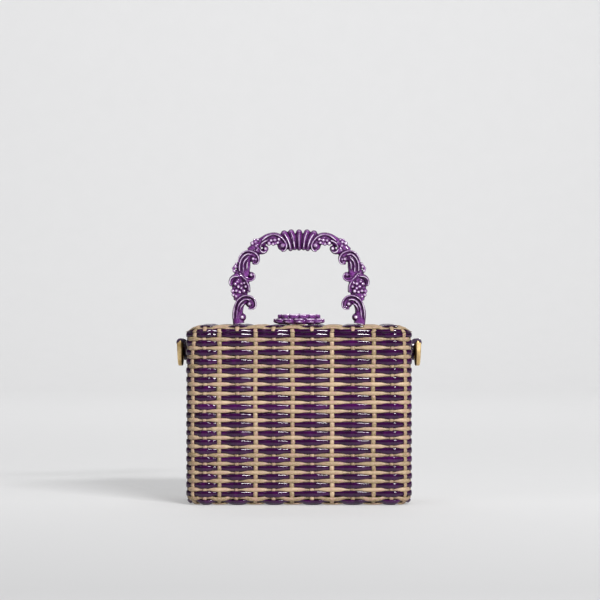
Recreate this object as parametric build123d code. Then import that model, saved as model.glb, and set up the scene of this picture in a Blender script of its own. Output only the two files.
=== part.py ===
from build123d import *
import os
from math import cos, radians, sin

# A woven box bag with a hinged lid, a cast scroll handle and a ring on each side.
# Millimetres. The origin is at the centre of the base, on the surface that the bag
# stands on. +X is to the right, +Y to the back and +Z up. The lid is modelled shut.

# ---- overall sizes ----
WIDTH = 190.0
DEPTH = 90.0
HEIGHT = 151.0  # to the top of the lid, without the handle
CORNER_R = 16.0  # upright corners, seen from above
BASE_EDGE_R = 7.0
LID_EDGE_R = 5.8

# ---- woven walls ----
WALL = 4.5
FLOOR = 4.5
LID_HEIGHT = 6.4
SEAM = 0.3  # gap between the lid and the body when shut

# ---- stiffeners and linings ----
GLUE = 0.2  # gap at a glued wall
FRAME_T = 5.0
FRAME_H = 24.0
BASE_BOARD_T = 2.5
LID_BOARD_T = 2.6
LINING_T = 1.2
LID_LINING_T = 2.0
LID_LINING_GAP = 1.0  # between the lid's lining and the mouth

# ---- fits ----
FIT = 0.05  # radial clearance of pins and screws
SLIP = 0.1  # side clearance of let-in pieces
SWING_GAP = 0.25  # around a knuckle that turns past a leaf

# ---- hinges ----
HINGE_X = 58.0
LEAF_W = 18.0
LEAF_T = 1.0
LEAF_EDGE = 0.5  # from the end of a leaf to the frame's inner face
KNUCKLES = 3
KNUCKLE_GAP = 0.2
BARREL_R = 2.0
BARREL_GAP = 0.4  # between the barrel and the back wall
HINGE_PIN_R = 0.9
PIN_HEAD_R = 1.4
PIN_HEAD_T = 0.4
HINGE_SCREW_R = 0.9
HINGE_SCREW_HEAD_R = 1.7
HINGE_SCREW_SPACING = 10.0
BODY_SCREW_LENGTH = 9.0
LID_SCREW_SHORT = 0.3  # from a lid screw's point to the top of the board

# ---- magnets ----
MAGNET_X = 22.0
MAGNET = (12.0, 3.4, 2.0)

# ---- handle ----
HANDLE_HEIGHT = 80.8  # above the lid
HANDLE_T = 13.0  # front to back
FOOT_X = 51.0
FOOT_R = 5.0
FOOT_H = 4.5
LIMB_R = 4.6
RIB_SIDE = 2  # ribs on each side of the middle one
RIB_R = 3.4
RIB_L = 13.0
RIB_FAN = 40.0  # from the fan's centre to the top of the ribs
RIB_STEP = 11.0  # degrees from rib to rib
HANDLE_SCREW_R = 1.5
HANDLE_SCREW_HEAD_R = 2.8
HANDLE_SCREW_HEAD_H = 1.6
HANDLE_SCREW_IN = 9.0  # how far a screw goes into the handle
DRILL_END = 0.5  # drilled depth past a screw's end

# ---- plaque on the lid ----
PLAQUE_W = 43.0
PLAQUE_D = 38.0
PLAQUE_H = 9.4
PLAQUE_Y = -16.0
PLAQUE_TIER_H = 4.8
PLAQUE_TIER_INSET = 4.0
PLAQUE_LOBES = 12
PLAQUE_LOBE_R = 5.2
PLAQUE_SCREW_X = 9.0
PLAQUE_SCREW_IN = 5.0

# ---- side rings and their tabs ----
RING_W = 26.0
RING_LEG = 7.0  # straight part of each leg, below the bar's centre
RING_BAR = 3.0
RING_T = 5.8  # at the bar, measured away from the bag's side
RING_END_T = 4.2  # at the bottom
RING_EDGE_R = 1.2
RING_DROP = 8.6  # from the body's rim to the bar's centre
RING_OFF = 5.6  # from the bag's side to the ring's middle plane
TAB_W = 14.0
TAB_PLY = 1.2
TAB_LOOP_WALL = 2.0
TAB_DOWN = 15.0  # how far the tab hangs below the bar's centre
TAB_GAP = 0.1  # between the tab and the woven side
RIVET_R = 1.4
RIVET_HEAD_R = 3.0
RIVET_HEAD_H = 0.7
RIVET_DOWN = 11.4  # below the bar's centre
RIVET_IN = 3.0  # how far it goes into the frame

# ---- worked out ----
SEAM_Z = HEIGHT - LID_HEIGHT - SEAM  # top of the body
RING_BAR_Z = SEAM_Z - RING_DROP
LID_Z = SEAM_Z + SEAM  # underside of the lid
FRAME_OUT = WALL + GLUE  # from the outside of the bag to the frame
FRAME_IN = FRAME_OUT + FRAME_T
MOUTH_IN = FRAME_IN + GLUE + LINING_T  # from the outside of the bag to the mouth
FRAME_LOW = SEAM_Z - FRAME_H
BOARD_TOP = FLOOR + BASE_BOARD_T
FRAME_MID_Y = DEPTH / 2 - FRAME_OUT - FRAME_T / 2
AXIS_Y = DEPTH / 2 + BARREL_GAP + BARREL_R
AXIS_Z = SEAM_Z + SEAM / 2
LEAF_END_Y = DEPTH / 2 - FRAME_IN + LEAF_EDGE
KNUCKLE_W = (LEAF_W - (KNUCKLES - 1) * KNUCKLE_GAP) / KNUCKLES
BOARD_Z = LID_Z + LID_BOARD_T  # underside of the lid's woven top
MAGNET_L, MAGNET_W, MAGNET_T = MAGNET


def slab(inset, low, high):
    """A block with the bag's rounded plan, inset all round, from one height to another."""
    corner = max(CORNER_R - inset, 1.0)
    plan = RectangleRounded(WIDTH - 2 * inset, DEPTH - 2 * inset, corner)
    return Pos(0, 0, low) * extrude(plan, high - low)


def peg(x, y, low, high, r):
    """An upright cylinder from one height to another."""
    return Pos(x, y, (low + high) / 2) * Cylinder(r, high - low)


def block(x0, x1, y0, y1, z0, z1):
    """A box between six faces."""
    middle = Pos((x0 + x1) / 2, (y0 + y1) / 2, (z0 + z1) / 2)
    return middle * Box(x1 - x0, y1 - y0, z1 - z0)


def lying(x, y, z, r, length):
    """A cylinder along Y."""
    return Pos(x, y, z) * Rot(90, 0, 0) * Cylinder(r, length)


def across(x, y, z, r, length):
    """A cylinder along X."""
    return Pos(x, y, z) * Rot(0, 90, 0) * Cylinder(r, length)


def hinge_screw_places():
    """Where the hinge screws stand, seen from above."""
    sides = (-1, 1)
    return [
        (side * HINGE_X + step * HINGE_SCREW_SPACING / 2, FRAME_MID_Y)
        for side in sides
        for step in sides
    ]


def magnet_places():
    """Where the magnets lie, seen from above."""
    return [(side * MAGNET_X, -FRAME_MID_Y) for side in (-1, 1)]


def lid_screw_places():
    """Each screw through the lid, with how far it goes into what it holds."""
    handle = [(side * FOOT_X, 0.0, HANDLE_SCREW_IN) for side in (-1, 1)]
    plaque = [(side * PLAQUE_SCREW_X, PLAQUE_Y, PLAQUE_SCREW_IN) for side in (-1, 1)]
    return handle, plaque


def leaf_pocket(side, low, high):
    """The room that is cut out for a leaf at the back of the rim."""
    x = side * HINGE_X
    reach = LEAF_W / 2 + SLIP
    return block(x - reach, x + reach, LEAF_END_Y - SLIP, DEPTH, low, high)


def magnet_pocket(x, y, low, high):
    """The room that is cut out for a magnet."""
    half_l = MAGNET_L / 2 + SLIP
    half_w = MAGNET_W / 2 + SLIP
    return block(x - half_l, x + half_l, y - half_w, y + half_w, low, high)


def rivet_z():
    return RING_BAR_Z - RIVET_DOWN


def rivet_hole(side):
    """The hole for a tab's rivet, from outside the bag into the frame."""
    inner = WIDTH / 2 - FRAME_OUT - RIVET_IN - FIT
    outer = WIDTH / 2 + RING_OFF
    length = outer - inner
    return across(side * (inner + length / 2), 0, rivet_z(), RIVET_R + FIT, length)


# ---- body ----
def make_body_basket():
    """The woven box: an open shell with rounded upright corners and a rounded base edge."""
    outer = slab(0, 0, SEAM_Z)
    outer = fillet(outer.faces().sort_by(Axis.Z)[0].edges(), BASE_EDGE_R)
    shell = outer - slab(WALL, FLOOR, SEAM_Z + 1)
    for side in (-1, 1):
        shell -= leaf_pocket(side, SEAM_Z - LEAF_T, SEAM_Z + 1)
        shell -= rivet_hole(side)
    return shell


def make_mouth_frame():
    """The wooden hoop inside the mouth, which carries hinges, magnets and rivets."""
    hoop = slab(FRAME_OUT, FRAME_LOW, SEAM_Z) - slab(FRAME_IN, FRAME_LOW - 1, SEAM_Z + 1)
    for side in (-1, 1):
        hoop -= leaf_pocket(side, SEAM_Z - LEAF_T, SEAM_Z + 1)
        hoop -= rivet_hole(side)
    for x, y in hinge_screw_places():
        hoop -= peg(x, y, SEAM_Z - BODY_SCREW_LENGTH - SLIP, SEAM_Z, HINGE_SCREW_R + SLIP)
    for x, y in magnet_places():
        hoop -= magnet_pocket(x, y, SEAM_Z - MAGNET_T, SEAM_Z + 1)
    return hoop


def make_base_board():
    """The stiff board on the woven floor."""
    return slab(WALL + GLUE, FLOOR, BOARD_TOP)


def make_body_lining():
    """The stiff lining: thin over the hoop, and filled out to the weave below it."""
    low = FRAME_LOW - GLUE
    outside = slab(WALL + GLUE, BOARD_TOP, low) + slab(FRAME_IN + GLUE, BOARD_TOP, SEAM_Z)
    return outside - slab(MOUTH_IN, BOARD_TOP + LINING_T, SEAM_Z + 1)


# ---- lid ----
def make_lid_basket():
    """The woven lid: a shallow tray turned over, with a rounded top edge."""
    outer = slab(0, LID_Z, HEIGHT)
    outer = fillet(outer.faces().sort_by(Axis.Z)[-1].edges(), LID_EDGE_R)
    tray = outer - slab(WALL, LID_Z - 1, BOARD_Z)
    for side in (-1, 1):
        tray -= leaf_pocket(side, LID_Z - 1, LID_Z + LEAF_T)
    for x, y, _ in sum(lid_screw_places(), []):
        tray -= peg(x, y, LID_Z, HEIGHT + 1, HANDLE_SCREW_R + FIT)
    return tray


def make_lid_board():
    """The board under the woven top, which the handle and the plaque are screwed to."""
    board = slab(WALL + GLUE, LID_Z, BOARD_Z)
    for side in (-1, 1):
        board -= leaf_pocket(side, LID_Z - 1, LID_Z + LEAF_T)
    for x, y in hinge_screw_places():
        board -= peg(x, y, LID_Z, BOARD_Z - LID_SCREW_SHORT + SLIP, HINGE_SCREW_R + SLIP)
    for x, y in magnet_places():
        board -= magnet_pocket(x, y, LID_Z - 1, LID_Z + MAGNET_T)
    for x, y, _ in sum(lid_screw_places(), []):
        board -= peg(x, y, LID_Z - 1, BOARD_Z + 1, HANDLE_SCREW_R + FIT)
        board -= peg(x, y, LID_Z - 1, LID_Z + HANDLE_SCREW_HEAD_H, HANDLE_SCREW_HEAD_R + FIT)
    return board


def make_lid_lining():
    """The lid's stiff lining, which drops just inside the mouth."""
    return slab(MOUTH_IN + LID_LINING_GAP, LID_Z - LID_LINING_T, LID_Z)


def lid_screw(x, y, into):
    """A round-headed screw up through the lid."""
    head = peg(x, y, LID_Z, LID_Z + HANDLE_SCREW_HEAD_H, HANDLE_SCREW_HEAD_R)
    return head + peg(x, y, LID_Z, HEIGHT + into, HANDLE_SCREW_R)


# ---- handle ----
def limb_points():
    """The middle line of the left limb, from its foot to the crown."""
    top = HEIGHT + HANDLE_HEIGHT
    return [
        (-FOOT_X, HEIGHT + FOOT_H / 2),
        (-FOOT_X - 1.5, HEIGHT + 0.17 * HANDLE_HEIGHT),
        (-FOOT_X + 2.5, HEIGHT + 0.36 * HANDLE_HEIGHT),
        (-FOOT_X + 3.0, HEIGHT + 0.56 * HANDLE_HEIGHT),
        (-FOOT_X + 9.5, HEIGHT + 0.76 * HANDLE_HEIGHT),
        (-0.45 * FOOT_X, top - 10.0),
        (0.0, top - 9.0),
    ]


def volutes():
    """Each curl of the left limb: place across, height above the lid, radius and depth."""
    return [
        (-48.5, 6.0, 3.9, 0.80),
        (-42.5, 17.0, 6.6, 0.86),
        (-50.5, 17.5, 6.2, 0.70),
        (-52.0, 34.0, 7.2, 0.92),
        (-41.0, 42.5, 4.6, 0.80),
        (-39.0, 55.0, 6.4, 0.86),
        (-46.5, 53.0, 6.8, 0.70),
        (-29.0, 64.5, 3.6, 0.72),
        (-23.0, 71.5, 5.4, 0.80),
        (-14.0, 67.5, 5.0, 0.90),
    ]


def berries():
    """Each berry that stands out of the left limb: place across, height and radius."""
    return [
        (-56.6, 26.0, 2.3),
        (-54.6, 46.0, 2.3),
        (-53.4, 50.6, 2.2),
        (-39.6, 67.4, 3.0),
        (-35.6, 71.2, 2.6),
    ]


def make_handle():
    """The one-piece cast handle: a limb with scrolls and berries, mirrored at a ribbed crown."""
    line = Spline(*[(x, 0, z) for x, z in limb_points()])
    start = Plane(origin=line @ 0, z_dir=line % 0)
    limb = sweep(start * Circle(LIMB_R), path=line)
    half = limb + peg(-FOOT_X, 0, HEIGHT, HEIGHT + FOOT_H, FOOT_R)
    for x, z, r, share in volutes():
        half += lying(x, 0, HEIGHT + z, r, HANDLE_T * share)
    for x, z, r in berries():
        half += Pos(x, 0, HEIGHT + z) * Sphere(r)
    whole = half + mirror(half, about=Plane.YZ)
    top = HEIGHT + HANDLE_HEIGHT
    rib = Cylinder(RIB_R, RIB_L) + Pos(0, 0, RIB_L / 2) * Sphere(RIB_R)
    for step in range(-RIB_SIDE, RIB_SIDE + 1):
        fan = Pos(0, 0, top - RIB_FAN) * Rot(0, step * RIB_STEP, 0)
        whole += fan * Pos(0, 0, RIB_FAN - RIB_R - RIB_L / 2) * rib
    for side in (-1, 1):
        drilled = HEIGHT + HANDLE_SCREW_IN + DRILL_END
        whole -= peg(side * FOOT_X, 0, HEIGHT - 1, drilled, HANDLE_SCREW_R + FIT)
    return whole


# ---- plaque ----
def lobed_plan(inset):
    """An oval with a ring of lobes around it."""
    half_w = PLAQUE_W / 2 - inset - PLAQUE_LOBE_R
    half_d = PLAQUE_D / 2 - inset - PLAQUE_LOBE_R
    plan = Ellipse(half_w + PLAQUE_LOBE_R * 0.4, half_d + PLAQUE_LOBE_R * 0.4)
    for k in range(PLAQUE_LOBES):
        turn = radians(360.0 * k / PLAQUE_LOBES)
        plan += Pos(half_w * cos(turn), half_d * sin(turn)) * Circle(PLAQUE_LOBE_R)
    return plan


def make_plaque():
    """The cast ornament on the lid: a lobed base, a smaller lobed tier and a boss."""
    base = Pos(0, PLAQUE_Y, HEIGHT) * extrude(lobed_plan(0), PLAQUE_TIER_H)
    rise = PLAQUE_H - PLAQUE_TIER_H
    tier_z = HEIGHT + PLAQUE_TIER_H
    tier = Pos(0, PLAQUE_Y, tier_z) * extrude(lobed_plan(PLAQUE_TIER_INSET), rise)
    plaque = base + tier
    for side in (-1, 1):
        drilled = HEIGHT + PLAQUE_SCREW_IN + DRILL_END
        hole = peg(side * PLAQUE_SCREW_X, PLAQUE_Y, HEIGHT - 1, drilled, HANDLE_SCREW_R + FIT)
        plaque -= hole
    return plaque


# ---- hinges ----
def knuckle(side, index, r):
    """One knuckle of a barrel, of the given radius."""
    first = side * HINGE_X - LEAF_W / 2 + KNUCKLE_W / 2
    return across(first + index * (KNUCKLE_W + KNUCKLE_GAP), AXIS_Y, AXIS_Z, r, KNUCKLE_W)


def knuckle_room(side, index):
    """The room that the other leaf's knuckle turns in."""
    x = side * HINGE_X - LEAF_W / 2 + KNUCKLE_W / 2 + index * (KNUCKLE_W + KNUCKLE_GAP)
    return across(x, AXIS_Y, AXIS_Z, BARREL_R + SWING_GAP, KNUCKLE_W + 2 * KNUCKLE_GAP)


def make_leaf(side, own, others, low, screw_top):
    """A hinge leaf: a plate with countersunk holes, rolled into its own knuckles."""
    x = side * HINGE_X
    half = LEAF_W / 2
    leaf = block(x - half, x + half, LEAF_END_Y, AXIS_Y, low, low + LEAF_T)
    for index in own:
        leaf += knuckle(side, index, BARREL_R)
    for index in others:
        leaf -= knuckle_room(side, index)
    leaf -= across(x, AXIS_Y, AXIS_Z, HINGE_PIN_R + FIT, LEAF_W + 2)
    for px, py in hinge_screw_places():
        if px * side > 0:
            leaf -= hinge_screw(px, py, low + LEAF_T / 2, screw_top, FIT)
    return leaf


def hinge_screw(x, y, middle, up, extra):
    """A countersunk screw whose head is flush with the leaf's free face.

    up is 1 where that face looks up, and -1 where it looks down.
    """
    length = BODY_SCREW_LENGTH if up > 0 else LID_BOARD_T - LID_SCREW_SHORT
    face = middle + up * LEAF_T / 2
    head = Cone(HINGE_SCREW_R + extra, HINGE_SCREW_HEAD_R + extra, LEAF_T)
    head = Pos(x, y, middle) * Rot(0 if up > 0 else 180, 0, 0) * head
    end = face - up * length
    return head + peg(x, y, min(face, end), max(face, end), HINGE_SCREW_R + extra)


def make_hinge_pin(side):
    """The pin of a hinge, with a peened head at each end."""
    x = side * HINGE_X
    pin = across(x, AXIS_Y, AXIS_Z, HINGE_PIN_R, LEAF_W + 2 * PIN_HEAD_T)
    for end in (-1, 1):
        place = x + end * (LEAF_W / 2 + FIT + PIN_HEAD_T / 2)
        pin += across(place, AXIS_Y, AXIS_Z, PIN_HEAD_R, PIN_HEAD_T)
    return pin


# ---- side rings ----
def ring_x():
    return WIDTH / 2 + RING_OFF


def make_ring(side):
    """A D ring that hangs from its straight bar and tapers towards its lower end."""
    outer_r = RING_W / 2
    inner_r = outer_r - RING_BAR
    plan = Pos(0, -RING_LEG / 2) * Rectangle(RING_W, RING_LEG)
    plan += Pos(0, -RING_LEG) * Circle(outer_r)
    plan -= Pos(0, -RING_LEG / 2) * Rectangle(2 * inner_r, RING_LEG)
    plan -= Pos(0, -RING_LEG) * Circle(inner_r)
    plan &= Pos(0, -RING_W) * Rectangle(RING_W, 2 * RING_W)
    upright = Plane(origin=(0, 0, 0), x_dir=(0, 1, 0), z_dir=(1, 0, 0))
    hoop = extrude(upright * plan, RING_T, both=True)
    low = -RING_LEG - outer_r
    taper = Polyline(
        (-RING_T / 2, 0), (RING_T / 2, 0), (RING_END_T / 2, low), (-RING_END_T / 2, low), close=True
    )
    hoop &= extrude(Plane.XZ * make_face(taper), RING_W, both=True)
    hoop = fillet(hoop.edges() - hoop.edges().filter_by(Axis.X), RING_EDGE_R)
    hoop += lying(0, 0, 0, RING_BAR / 2, RING_W - RING_BAR)
    for end in (-1, 1):
        hoop += Pos(0, end * (RING_W - RING_BAR) / 2, 0) * Sphere(RING_BAR / 2)
    return Pos(side * ring_x(), 0, RING_BAR_Z) * hoop


def make_ring_tab(side):
    """A doubled leather tab, rolled over the ring's bar and riveted to the bag's side."""
    loop_r = RING_BAR / 2 + FIT + TAB_LOOP_WALL
    face = -RING_OFF + TAB_GAP
    back = face + 2 * TAB_PLY
    tab = lying(0, 0, 0, loop_r, TAB_W)
    tab += block(face, back, -TAB_W / 2, TAB_W / 2, -TAB_DOWN, loop_r * 0.5)
    tab += block(face, 0, -TAB_W / 2, TAB_W / 2, -loop_r * 0.5, loop_r * 0.5)
    tab -= lying(0, 0, 0, RING_BAR / 2 + FIT, TAB_W + 2)
    tab -= across(back, 0, -RIVET_DOWN, RIVET_R + FIT, 4 * RING_OFF)
    if side < 0:
        tab = mirror(tab, about=Plane.YZ)
    return Pos(side * ring_x(), 0, RING_BAR_Z) * tab


def make_rivet(side):
    """A low-domed rivet through the tab and the weave, into the frame."""
    head_face = WIDTH / 2 + TAB_GAP + 2 * TAB_PLY
    inner = WIDTH / 2 - FRAME_OUT - RIVET_IN
    length = head_face - inner
    rivet = across(side * (inner + length / 2), 0, rivet_z(), RIVET_R, length)
    head_x = side * (head_face + RIVET_HEAD_H / 2)
    head = across(head_x, 0, rivet_z(), RIVET_HEAD_R, RIVET_HEAD_H)
    return rivet + head


def make_magnets(low):
    """A pair of bar magnets, with their lower faces at the given height."""
    return [
        Pos(x, y, low + MAGNET_T / 2) * Box(MAGNET_L, MAGNET_W, MAGNET_T)
        for x, y in magnet_places()
    ]


def save(name, *solids):
    """Write one node as a STEP file."""
    shape = solids[0] if len(solids) == 1 else Compound(children=list(solids))
    export_step(shape, f"parts/{name}.step")


def main():
    os.makedirs("parts", exist_ok=True)
    save("body_basket", make_body_basket())
    save("mouth_frame", make_mouth_frame())
    save("base_board", make_base_board())
    save("body_lining", make_body_lining())
    save("lid_basket", make_lid_basket())
    save("lid_board", make_lid_board())
    save("lid_lining", make_lid_lining())
    save("handle", make_handle())
    save("plaque", make_plaque())
    handle_screws, plaque_screws = lid_screw_places()
    save("handle_screws", *[lid_screw(*place) for place in handle_screws])
    save("plaque_screws", *[lid_screw(*place) for place in plaque_screws])
    places = hinge_screw_places()
    body_leaf_z = SEAM_Z - LEAF_T
    body_screws = [hinge_screw(x, y, body_leaf_z + LEAF_T / 2, 1, 0) for x, y in places]
    lid_screws = [hinge_screw(x, y, LID_Z + LEAF_T / 2, -1, 0) for x, y in places]
    save("hinge_body_screws", *body_screws)
    save("hinge_lid_screws", *lid_screws)
    save("body_magnets", *make_magnets(SEAM_Z - MAGNET_T))
    save("lid_magnets", *make_magnets(LID_Z))
    for name, side in (("left", -1), ("right", 1)):
        save(f"{name}_hinge_body_leaf", make_leaf(side, (0, 2), (1,), body_leaf_z, 1))
        save(f"{name}_hinge_lid_leaf", make_leaf(side, (1,), (0, 2), LID_Z, -1))
        save(f"{name}_hinge_pin", make_hinge_pin(side))
        save(f"{name}_ring", make_ring(side))
        save(f"{name}_ring_tab", make_ring_tab(side))
        save(f"{name}_tab_rivet", make_rivet(side))


main()
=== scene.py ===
"""A woven box bag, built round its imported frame: strands, cast scrollwork, leather and brass."""

from math import pi, radians

import bpy
import numpy as np
from bpy.props import FloatProperty, FloatVectorProperty, PointerProperty
from mathutils import Matrix, Vector


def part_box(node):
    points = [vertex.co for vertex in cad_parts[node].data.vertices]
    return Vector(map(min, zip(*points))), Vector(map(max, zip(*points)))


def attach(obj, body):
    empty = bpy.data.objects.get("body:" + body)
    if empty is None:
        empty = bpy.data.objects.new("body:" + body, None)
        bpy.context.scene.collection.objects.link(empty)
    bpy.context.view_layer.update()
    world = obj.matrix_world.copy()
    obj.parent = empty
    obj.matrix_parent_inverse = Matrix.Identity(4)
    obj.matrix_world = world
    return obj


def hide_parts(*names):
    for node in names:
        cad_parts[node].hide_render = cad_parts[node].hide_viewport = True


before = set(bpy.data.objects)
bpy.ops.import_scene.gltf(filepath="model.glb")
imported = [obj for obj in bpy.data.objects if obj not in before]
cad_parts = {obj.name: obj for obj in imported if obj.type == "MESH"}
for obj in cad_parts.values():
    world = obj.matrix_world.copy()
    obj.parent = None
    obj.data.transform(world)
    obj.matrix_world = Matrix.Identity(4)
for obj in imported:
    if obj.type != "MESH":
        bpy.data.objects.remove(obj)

bl_info = {
    "name": "Basket Box Bag",
    "version": (1, 0, 0),
    "blender": (4, 5, 0),
    "location": "View3D > Sidebar > Basket Bag",
    "description": "Weaves and finishes a box bag round its packed frame",
    "category": "Add Mesh",
}

MM = 0.001
X_WAY, Y_WAY, Z_WAY = np.eye(3)
WOBBLE_LEVEL = 1.6  # brings a sum of waves to about the size asked for
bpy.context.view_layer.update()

# ---- places read from the frame ----
BODY_LOW, BODY_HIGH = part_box("body_basket")
LID_LOW, LID_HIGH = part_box("lid_basket")
HALF_W, HALF_D = BODY_HIGH.x, BODY_HIGH.y
BODY_TOP = BODY_HIGH.z
LID_BASE, LID_TOP = LID_LOW.z, LID_HIGH.z

# ---- shape of the box ----
CORNER_R = 16 * MM  # upright corners
BASE_R = 7 * MM  # rounding under the walls
LID_R = 5.8 * MM  # rounding round the lid's top


# ============================================================ mesh helpers
def mesh_object(name, points, quads, tris=None, values=None):
    """A mesh object from arrays of points (n, 3), quads (k, 4) and triangles (k, 3).

    values maps an attribute's name to one number for each point.
    """
    tris = np.zeros((0, 3), int) if tris is None else tris
    mesh = bpy.data.meshes.new(name)
    mesh.vertices.add(len(points))
    mesh.vertices.foreach_set("co", np.asarray(points, np.float32).ravel())
    loops = np.concatenate([quads.ravel(), tris.ravel()])
    sizes = np.concatenate([np.full(len(quads), 4), np.full(len(tris), 3)])
    mesh.loops.add(len(loops))
    mesh.loops.foreach_set("vertex_index", loops.astype(np.int32))
    mesh.polygons.add(len(sizes))
    starts = np.concatenate([[0], np.cumsum(sizes)[:-1]])
    mesh.polygons.foreach_set("loop_start", starts.astype(np.int32))
    mesh.polygons.foreach_set("use_smooth", np.ones(len(sizes), bool))
    mesh.update(calc_edges=True)
    for key, numbers in (values or {}).items():
        layer = mesh.attributes.new(key, "FLOAT", "POINT")
        layer.data.foreach_set("value", np.asarray(numbers, np.float32).ravel())
    mesh.validate()
    piece = bpy.data.objects.new(name, mesh)
    bpy.context.scene.collection.objects.link(piece)
    return piece


class Skin:
    """Collects closed surfaces, each a grid of points, to make one mesh."""

    def __init__(self):
        self.points, self.quads, self.tris, self.values, self.count = [], [], [], {}, 0

    def add(self, grid, closed=False, **values):
        """Adds m tubes of n rings of c points, grid (m, n, c, 3), closed or with capped ends.

        Each value is a number for each point, or anything that spreads over (m, n, c).
        """
        m, n, c = grid.shape[:3]
        ids = self.count + np.arange(m * n * c).reshape(m, n, c)
        points = [grid.reshape(-1, 3)]
        heart = grid.mean(axis=2)
        middle = n // 2
        ahead = heart[0, (middle + 1) % n] - heart[0, middle]
        spoke = grid[0, middle, 0] - heart[0, middle]
        turn = grid[0, middle, 1] - grid[0, middle, 0]
        inside_out = np.dot(np.cross(ahead, turn), spoke) < 0
        a = ids if closed else ids[:, :-1]
        b = np.roll(ids, -1, axis=1) if closed else ids[:, 1:]
        quads = np.stack([a, b, np.roll(b, -1, 2), np.roll(a, -1, 2)], axis=-1).reshape(-1, 4)
        tris = np.zeros((0, 3), int)
        flat = {k: np.broadcast_to(v, (m, n, c)).reshape(-1) for k, v in values.items()}
        if not closed:
            poles = self.count + m * n * c + np.arange(2 * m).reshape(2, m)
            points += [heart[:, 0], heart[:, -1]]
            first, last = ids[:, 0], ids[:, -1]
            foot, head = (np.broadcast_to(pole[:, None], (m, c)) for pole in poles)
            low = np.stack([foot, first, np.roll(first, -1, 1)], -1)
            top = np.stack([head, np.roll(last, -1, 1), last], -1)
            tris = np.concatenate([low.reshape(-1, 3), top.reshape(-1, 3)])
            for k, v in values.items():
                v = np.broadcast_to(v, (m, n, c))
                flat[k] = np.concatenate([flat[k], v[:, 0, 0], v[:, -1, 0]])
        if inside_out:
            quads, tris = quads[:, ::-1], tris[:, ::-1]
        for k, v in flat.items():
            self.values.setdefault(k, []).append(v)
        self.points += points
        self.quads.append(quads)
        self.tris.append(tris)
        self.count += sum(len(part) for part in points)

    def build(self, name, bend=None):
        """The mesh object of everything collected, its points moved by bend if that is given."""
        values = {k: np.concatenate(v) for k, v in self.values.items()}
        points = np.concatenate(self.points)
        points = bend(points) if bend else points
        return mesh_object(name, points, np.concatenate(self.quads), np.concatenate(self.tris), values)


def unit(v):
    """Each vector of an array, scaled to length 1."""
    return v / np.maximum(np.linalg.norm(v, axis=-1, keepdims=True), 1e-12)


def section(path, side, out, half_side, half_out, count, square=0.8):
    """Rings of points round a path: path + half_side cos(a) side + half_out sin(a) out.

    cos and sin are raised to the power square, so under 1 the section is a rounded
    rectangle. side and out may be one direction for the whole path.
    """
    side, out = np.broadcast_to(side, path.shape), np.broadcast_to(out, path.shape)
    angle = 2 * pi * np.arange(count) / count
    cos, sin = np.cos(angle), np.sin(angle)
    across = np.sign(cos) * np.abs(cos) ** square
    up = np.sign(sin) * np.abs(sin) ** square
    half_side = np.broadcast_to(half_side, path.shape[:-1])[..., None, None]
    half_out = np.broadcast_to(half_out, path.shape[:-1])[..., None, None]
    offset = half_side * across[:, None] * side[..., None, :]
    offset = offset + half_out * up[:, None] * out[..., None, :]
    return path[..., None, :] + offset


def wobble(rng, where, rows, size, highest=7):
    """Slow random waves for a number of rows, over where in 0 to 1, that close on themselves.

    They are the sum of sines of 1 to highest turns, weaker with the root of the turns.
    """
    waves = np.arange(1, highest + 1)
    phase = rng.uniform(0, 2 * pi, (rows, len(waves), 1))
    power = rng.normal(0, 1, (rows, len(waves), 1)) / waves[:, None] ** 0.5
    waved = power * np.sin(2 * pi * waves[:, None] * where + phase)
    return size * waved.sum(axis=1) / WOBBLE_LEVEL


# ============================================================ the box's own shape
STRAIGHT_X, STRAIGHT_Y = HALF_W - CORNER_R, HALF_D - CORNER_R
QUARTER = pi / 2 * CORNER_R
ROUND = 4 * (STRAIGHT_X + STRAIGHT_Y + QUARTER)  # the way round the box


def outline(s, inset):
    """Point and outward normal at length s round the box, drawn in by inset.

    The outline is a circle of radius corner - inset, carried round a smaller rectangle:
    centre(s) + (corner - inset) (cos f, sin f), with f the way that the wall faces.
    """
    legs = [STRAIGHT_X, QUARTER, 2 * STRAIGHT_Y, QUARTER, 2 * STRAIGHT_X, QUARTER, 2 * STRAIGHT_Y]
    knots = np.cumsum([0.0] + legs + [QUARTER, STRAIGHT_X])
    facing = np.array([-1, -1, 0, 0, 1, 1, 2, 2, 3, 3]) * pi / 2
    across = np.array([0, 1, 1, 1, 1, -1, -1, -1, -1, 0]) * STRAIGHT_X
    along = np.array([-1, -1, -1, 1, 1, 1, 1, -1, -1, -1]) * STRAIGHT_Y
    s = np.mod(s, ROUND)
    f = np.interp(s, knots, facing)
    normal = np.stack([np.cos(f), np.sin(f)], axis=-1)
    centre = np.stack([np.interp(s, knots, across), np.interp(s, knots, along)], axis=-1)
    return centre + (CORNER_R - inset)[..., None] * normal, normal


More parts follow.
